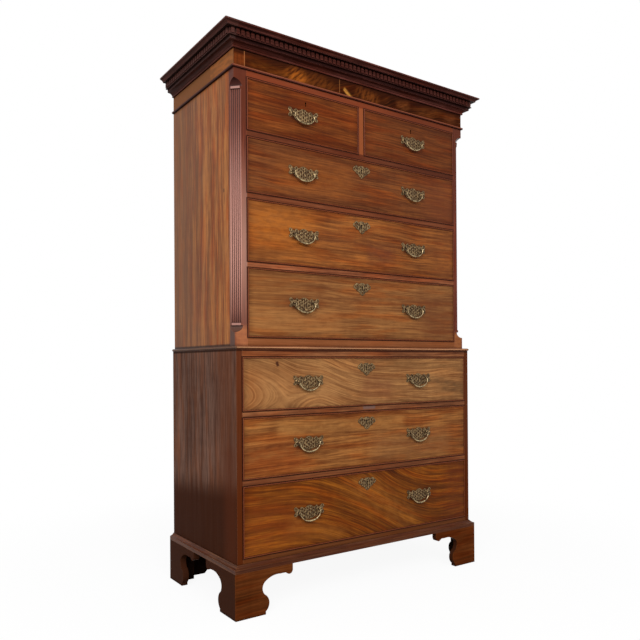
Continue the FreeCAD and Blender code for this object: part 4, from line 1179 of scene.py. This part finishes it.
# ------------------------------------------------------------------ cases
CASE_TIMBERS = {
    "lower_case_sides": Timber(
        "side_lower", (134, 98, 82), (104, 76, 64), (70, 46, 38), Grain.UP, seed=21.0, streaks=34,
        contrast=0.45, fine=0.7, gloss=0.004, patches=(
            Patch(-0.16, 0.6, 0.06, 0.3, (108, 64, 44), 0.5, 0.1, face=Face.SIDE),
            # painted reflection: the side is dark below about 0.4 m, as if it mirrored a dark floor
            Patch(0.016, 0.2, 0.4, 0.19, (58, 26, 10), 0.93, 0.1, -5.0, face=Face.SIDE),
            Patch(-0.2, 0.32, 0.045, 0.22, (92, 44, 24), 0.45, 0.06, face=Face.SIDE),
            Patch(-0.241, 0.5, 0.0015, 0.4, (86, 38, 13), 0.85, 0.001, face=Face.SIDE),
            # painted shade: a dark line just under the waist moulding
            band(851, 858.5, (34, 18, 12), 0.8, 0.003),
        ),
    ),
    "upper_case_sides": Timber(
        "side_upper", (182, 116, 60), (148, 91, 48), (110, 62, 30), Grain.UP, seed=22.5, streaks=34,
        contrast=0.8, fine=0.9, ruddy=1.0, patches=(
            # painted sheen: the side is darker towards the back, so its front reads brighter
            Patch(0.27, 1.3, 0.2, 1.0, (112, 74, 48), 0.6, 0.3, face=Face.SIDE),
            Patch(-0.147, 1.383, 0.004, 0.006, (70, 40, 26), 0.8, 0.004, face=Face.SIDE),
            # painted shade: a dark line along the side's foot, over the waist moulding
            band(866, 875, (36, 22, 18), 0.8, 0.006),
        ),
    ),
    "lower_case_rails": Timber(
        "rail_lower", (156, 100, 62), (121, 74, 46), (80, 42, 24), seed=23.5, streaks=70, patches=(
            # painted shade: the bottom rail darker, towards the floor
            Patch(0.0, 0.17, 0.6, 0.06, (84, 42, 12), 0.75, 0.1),
            # painted shade with soiling: a dark line under the waist moulding
            band(851, 859, GRIME_AND_SHADE, 0.9, 0.002),
            Patch(-0.2, 0.425, 0.5, 0.04, (96, 50, 28), 0.5, 0.06),
            Patch(0.012, 0.65, 0.028, 0.006, (108, 92, 88), 0.6, 0.008),
        ),
    ),
    "upper_case_rails": Timber(
        "rail_upper", (164, 100, 66), (130, 76, 48), (88, 44, 26), seed=24.5, streaks=70, patches=(
            # painted shade: the rails and stiles darker towards the top
            Patch(0.0, 1.56, 0.6, 0.16, (74, 28, 14), 0.75, 0.16),
            Patch(0.0, 1.36, 0.6, 0.03, (92, 44, 24), 0.6, 0.06),
            Patch(0.0, 1.659, 0.012, 0.085, (146, 78, 42), 0.8, 0.002),
            Patch(0.0, 1.756, 0.6, 0.014, (118, 52, 28), 0.75, 0.003),
            # painted shade: darker towards the upper right
            Patch(0.42, 1.64, 0.3, 0.14, (54, 22, 12), 0.55, 0.4),
            Patch(0.0, 0.88, 0.6, 0.014, (128, 76, 40), 0.6, 0.003),
        ),
    ),
    "fluted_corners": Timber(
        "corner", (126, 64, 44), (98, 44, 28), (68, 28, 18), Grain.UP, seed=25.5, streaks=70, edge=0.6,
        rough=0.3, gloss=0.08, patches=(
            # painted sheen: a pale pink bloom at middle height on the left corner
            Patch(-0.8, 1.19, 0.8, 0.19, (182, 138, 122), 0.58, 0.4),
            # painted shade: darker towards the top
            Patch(0.0, 1.74, 2.0, 0.15, (82, 36, 20), 0.8, 0.2),
            Patch(-0.494, 0.898, 0.026, 0.034, (172, 106, 66), 0.8, 0.02, uneven=0.4),
            Patch(0.494, 0.898, 0.026, 0.034, (160, 98, 54), 0.8, 0.02, uneven=0.4),
            Cant(),
            # painted shade: the block's side face below the run-out
            Patch(-0.185, 0.895, 0.0325, 0.04, (84, 56, 46), 0.9, 0.003, face=Face.SIDE),
        ),
    ),
    "base_moulding": Timber(
        "base", (118, 76, 50), (86, 50, 32), (52, 27, 18), Grain.ROUND, seed=26.5, edge=0.7, patches=(
            Patch(0.0, 0.16, 0.5285, 0.05, (70, 34, 20), 0.45, 0.001),
        ),
    ),
    "waist_moulding": Timber(
        "waist", (146, 92, 60), (104, 58, 38), (62, 32, 22), Grain.ROUND, seed=27.5, edge=0.9, patches=(
            # painted highlight: a bright line along the moulding
            Patch(0.0, 0.8632, 2.0, 0.0014, (200, 148, 106), 0.7, 0.0015),
            Patch(0.0, 0.86, 0.5285, 0.05, (58, 42, 36), 0.75, 0.001, outside=True),
        ),
    ),
    "bracket_feet": Timber(
        "feet", (118, 66, 32), (90, 45, 18), (54, 26, 10), Grain.ROUND, seed=28.5, gloss=0.004,
        # painted shadow: the feet are near black inside
        contrast=0.18, fine=0.4, hollow=(0.525, -0.237), patches=(
            # painted shade: the feet's side faces darker
            Patch(0.1, 0.1, 0.353, 0.2, (57, 31, 20), 0.9, 0.002, face=Face.SIDE),
        ),
    ),
    "frieze": Timber(
        # the frieze's tones are darkened as painted shade under the cornice
        "frieze", (92, 45, 15), (58, 25, 9), (34, 14, 6), Grain.ROUND, seed=29.5, gloss=0.01, sway=0.03,
        sway_size=9.0, streaks=90, contrast=0.32, curl=0.4, sweep=(-0.52, 0.52, -0.3), patches=(
            Patch(-0.38, 1.787, 0.08, 0.014, (116, 62, 20), 0.4, 0.03, -3.0, uneven=0.8, drawn=2.0),
            Patch(-0.275, 1.79, 0.034, 0.038, (190, 104, 34), 0.6, 0.05, 42.0, uneven=1.0, drawn=2.4),
            Patch(-0.19, 1.788, 0.05, 0.05, (112, 58, 20), 0.6, 0.04, 48.0, uneven=1.0, drawn=2.4),
            Patch(-0.06, 1.784, 0.022, 0.006, (214, 148, 66), 0.85, 0.01, -38.0, uneven=0.7, drawn=2.0),
            Patch(0.03, 1.797, 0.026, 0.05, (132, 70, 26), 0.5, 0.03, 70.0, uneven=1.0, drawn=2.0),
            Patch(0.206, 1.8, 0.03, 0.016, (132, 74, 36), 0.5, 0.03, 20.0, uneven=0.8, drawn=2.0),
            Patch(0.34, 1.798, 0.07, 0.02, (104, 56, 24), 0.5, 0.03, 20.0, uneven=0.9, drawn=2.0),
            Patch(0.46, 1.798, 0.03, 0.014, (112, 62, 34), 0.5, 0.03, 10.0, uneven=0.7, drawn=2.0),
            # painted shadow: a dark band under the cornice
            Patch(0.0, 1.826, 0.6, 0.01, (44, 18, 10), 0.8, 0.03),
            Patch(-0.501, 1.793, 0.019, 0.02, (120, 56, 22), 0.7, 0.012, 90.0, uneven=0.6, drawn=2.0),
            Patch(-0.482, 1.8, 0.0014, 0.2, (150, 92, 52), 0.8, 0.001),
            Patch(-0.097, 1.8, 0.0012, 0.2, (150, 96, 52), 0.6, 0.001),
            Patch(0.004, 1.8, 0.0012, 0.2, (70, 34, 16), 0.6, 0.001),
            Patch(0.0, 1.8, 0.5215, 0.2, (150, 98, 60), 0.6, 0.0006, outside=True),
            Patch(-0.132, 1.8, 0.082, 0.04, (176, 104, 52), 0.5, 0.01, face=Face.SIDE, uneven=0.9, drawn=2.0),
        ),
    ),
    "cornice": Timber(
        "cornice", (110, 62, 54), (76, 38, 32), (46, 20, 16), Grain.ROUND, seed=30.5, edge=0.8,
        corner=0.35, gloss=0.02, patches=(
            # painted shade: a dark line under the astragal
            band(1766, 1768.0, (36, 14, 10)),
            # painted highlight along the astragal's front
            Patch(0.0, 1.773, 0.5245, 0.0022, (138, 78, 52), 0.75, 0.001),
            # painted shadow: the deep band under the dentils
            band(1843.5, 1857, (20, 7, 7), 0.8),
            band(1857, 1875.5, (54, 24, 19), 0.65),
            band(1865.2, 1867.2, (26, 10, 8), 0.7),
            # painted shade: a dark line under the crown
            band(1875.5, 1878.5, (22, 8, 8), 0.9),
            Patch(0.0, 1.8, 0.527, 0.2, (104, 80, 74), 0.18, 0.001, outside=True),
        ),
    ),
}


@dataclass
class Cases:
    """The two cases with their mouldings, corners and feet."""

    drawers: tuple[str, ...]
    grime_and_shade_mm: float = 3.0
    finishes: dict[str, Timber] = field(default_factory=CASE_TIMBERS.copy)
    inner: Timber = Timber(
        "carcase_oak", (150, 116, 76), (122, 90, 58), (90, 62, 38), rough=0.7, gloss=0.0, edge=0.1,
        corner=0.7, seed=31.0,
    )
    back: Timber = Timber(
        "back_boards", (132, 102, 70), (104, 78, 52), (72, 52, 34), Grain.UP, rough=0.75, gloss=0.0, edge=0.2,
        corner=0.8, seed=32.0,
    )

    def shade_and_grime_lines(self) -> tuple[Patch, ...]:
        """Gives a dark line round each drawer's opening, of soiling and of painted shade in the gap.

        Returns:
            A patch for each opening.
        """
        out = []
        reach, soft = (OPENING_GAP_MM + self.grime_and_shade_mm) * MM, 0.8 * self.grime_and_shade_mm * MM
        for name in self.drawers:
            x, z, half_width, half_height = front_box(name)
            out.append(Patch(x, z, half_width + reach, half_height + reach, GRIME_AND_SHADE, 0.95, soft))
        return tuple(out)

    def dress(self) -> None:
        """Gives each part of the cases its timber."""
        lines = self.shade_and_grime_lines()
        for node, timber in self.finishes.items():
            if node in ("lower_case_rails", "upper_case_rails", "lower_case_sides", "fluted_corners"):
                timber = replace(timber, patches=timber.patches + lines)
            wear(node, timber.material())
        inner, back = self.inner.material(), self.back.material()
        for case in ("lower", "upper"):
            wear(f"{case}_case_boards", inner)
            wear(f"{case}_case_back", back)
        log.info("cases: %d timbers", len(self.finishes) + 2)


# ------------------------------------------------------------------ studio
@dataclass
class Studio:
    """A pale floor, soft lamps and the camera.

    The floor glows fully beyond the second distance of floor_glow_at, and by floor_glow
    within the first, which leaves the shadow under the chest. Each lamp has its name, place,
    size and power.
    """

    focal_px: float = 663.1
    axis_px: tuple[float, float] = (317.8, 362.0)
    frame_px: float = 640.0
    turn_deg: tuple[float, float, float] = (34.717, 0.222, -0.346)
    stand: tuple[float, float, float] = (-1.5153, -2.1186, 0.8063)
    floor_half: float = 12.0
    floor_shade: Levels = (130, 126, 120)
    floor_glow: float = 0.92
    floor_glow_at: tuple[float, float] = (0.8, 2.0)
    ambient: float = 0.45
    aim: tuple[float, float, float] = (0.0, 0.0, 0.95)
    lamps: tuple = (
        ("key", (-3.4, -3.0, 3.0), 2.0, 150.0),
        ("fill", (-0.8, -4.6, 2.8), 2.4, 110.0),
    )

    def white_to_eye(self, g: Graph) -> Socket:
        """Gives 1 for rays that see the surroundings directly, in gloss or through glass.

        Args:
            g: the graph.

        Returns:
            The output that is 1 or 0.
        """
        path = g.add("LightPath").outputs
        seen = g.plus(path["Is Camera Ray"], path["Is Glossy Ray"])
        return g.maths("ADD", seen, path["Is Transmission Ray"], clamp=True)

    def floor(self) -> None:
        """Lays the floor, which shows white but keeps a faint shadow, and throws little light up."""
        half = self.floor_half
        corners = np.array([(-half, -half, 0), (half, -half, 0), (half, half, 0), (-half, half, 0)])
        made, g, shader = surface("pale_floor")
        white = self.white_to_eye(g)
        g.feed(shader.inputs["Base Color"], g.mix(white, tone(self.floor_shade), WHITE))
        shader.inputs["Roughness"].default_value = 0.9
        shader.inputs["Specular IOR Level"].default_value = 0.0
        glow = g.add("Emission", {"Color": WHITE, "Strength": 1.0}).outputs[0]
        away = g.add("VectorMath", {0: g.place()}, operation="LENGTH").outputs["Value"]
        share = g.times(white, g.ramp(away, *self.floor_glow_at, self.floor_glow, 1.0))
        mixed = g.add("MixShader", {0: share, 1: shader.outputs[0], 2: glow}).outputs[0]
        g.feed(made.node_tree.nodes["Material Output"].inputs["Surface"], mixed)
        Shape(corners, [(0, 1, 2, 3)]).piece("floor", made)

    def light(self) -> None:
        """Hangs the lamps and sets the surroundings."""
        world = bpy.data.worlds.new("studio")
        bpy.context.scene.world = world
        world.use_nodes = True
        g = Graph(world.node_tree)
        back = world.node_tree.nodes["Background"]
        strength = g.maths("MULTIPLY_ADD", self.white_to_eye(g), 1.0 - self.ambient, self.ambient)
        back.inputs["Color"].default_value = WHITE
        g.feed(back.inputs["Strength"], strength)
        for name, place, size, power in self.lamps:
            data = bpy.data.lights.new(name, "AREA")
            data.shape = "SQUARE"
            data.size = size
            data.energy = power
            lamp = bpy.data.objects.new(name, data)
            bpy.context.scene.collection.objects.link(lamp)
            lamp.location = place
            lamp.rotation_mode = "QUATERNION"
            lamp.rotation_quaternion = (Vector(self.aim) - Vector(place)).to_track_quat("-Z", "Y")

    def camera(self) -> None:
        """Stands the camera before the front's left corner.

        The look direction is (sin t cos p, cos t cos p, sin p) for turn t and pitch p, and the
        picture's own axes are rolled about it.
        """
        turn, pitch, roll = (math.radians(angle) for angle in self.turn_deg)
        ahead = np.array([math.sin(turn), math.cos(turn), 0.0])
        look = ahead * math.cos(pitch) + np.array([0.0, 0.0, math.sin(pitch)])
        level = np.array([math.cos(turn), -math.sin(turn), 0.0])
        above = np.cross(level, look)
        right = level * math.cos(roll) + above * math.sin(roll)
        up = above * math.cos(roll) - level * math.sin(roll)
        data = bpy.data.cameras.new("camera")
        data.sensor_width = 36.0
        data.lens = self.focal_px / self.frame_px * data.sensor_width
        data.shift_x = (self.frame_px / 2 - self.axis_px[0]) / self.frame_px
        data.shift_y = (self.axis_px[1] - self.frame_px / 2) / self.frame_px
        data.clip_end = 100.0
        made = bpy.data.objects.new("camera", data)
        bpy.context.scene.collection.objects.link(made)
        columns = np.eye(4)
        columns[:3] = np.column_stack([right, up, -look, self.stand])
        made.matrix_world = Matrix(columns.tolist())
        bpy.context.scene.camera = made

    def set_up(self) -> None:
        """Builds the whole studio."""
        self.floor()
        self.light()
        self.camera()
        bpy.context.scene.view_settings.view_transform = "Standard"


def main() -> None:
    """Builds the studio, the cases and the drawers."""
    logging.basicConfig(level=logging.INFO)
    Studio().set_up()
    drawers = Drawers(Brasses())
    Cases(tuple(drawers.fronts)).dress()
    drawers.dress()


if __name__ == "__main__":
    main()
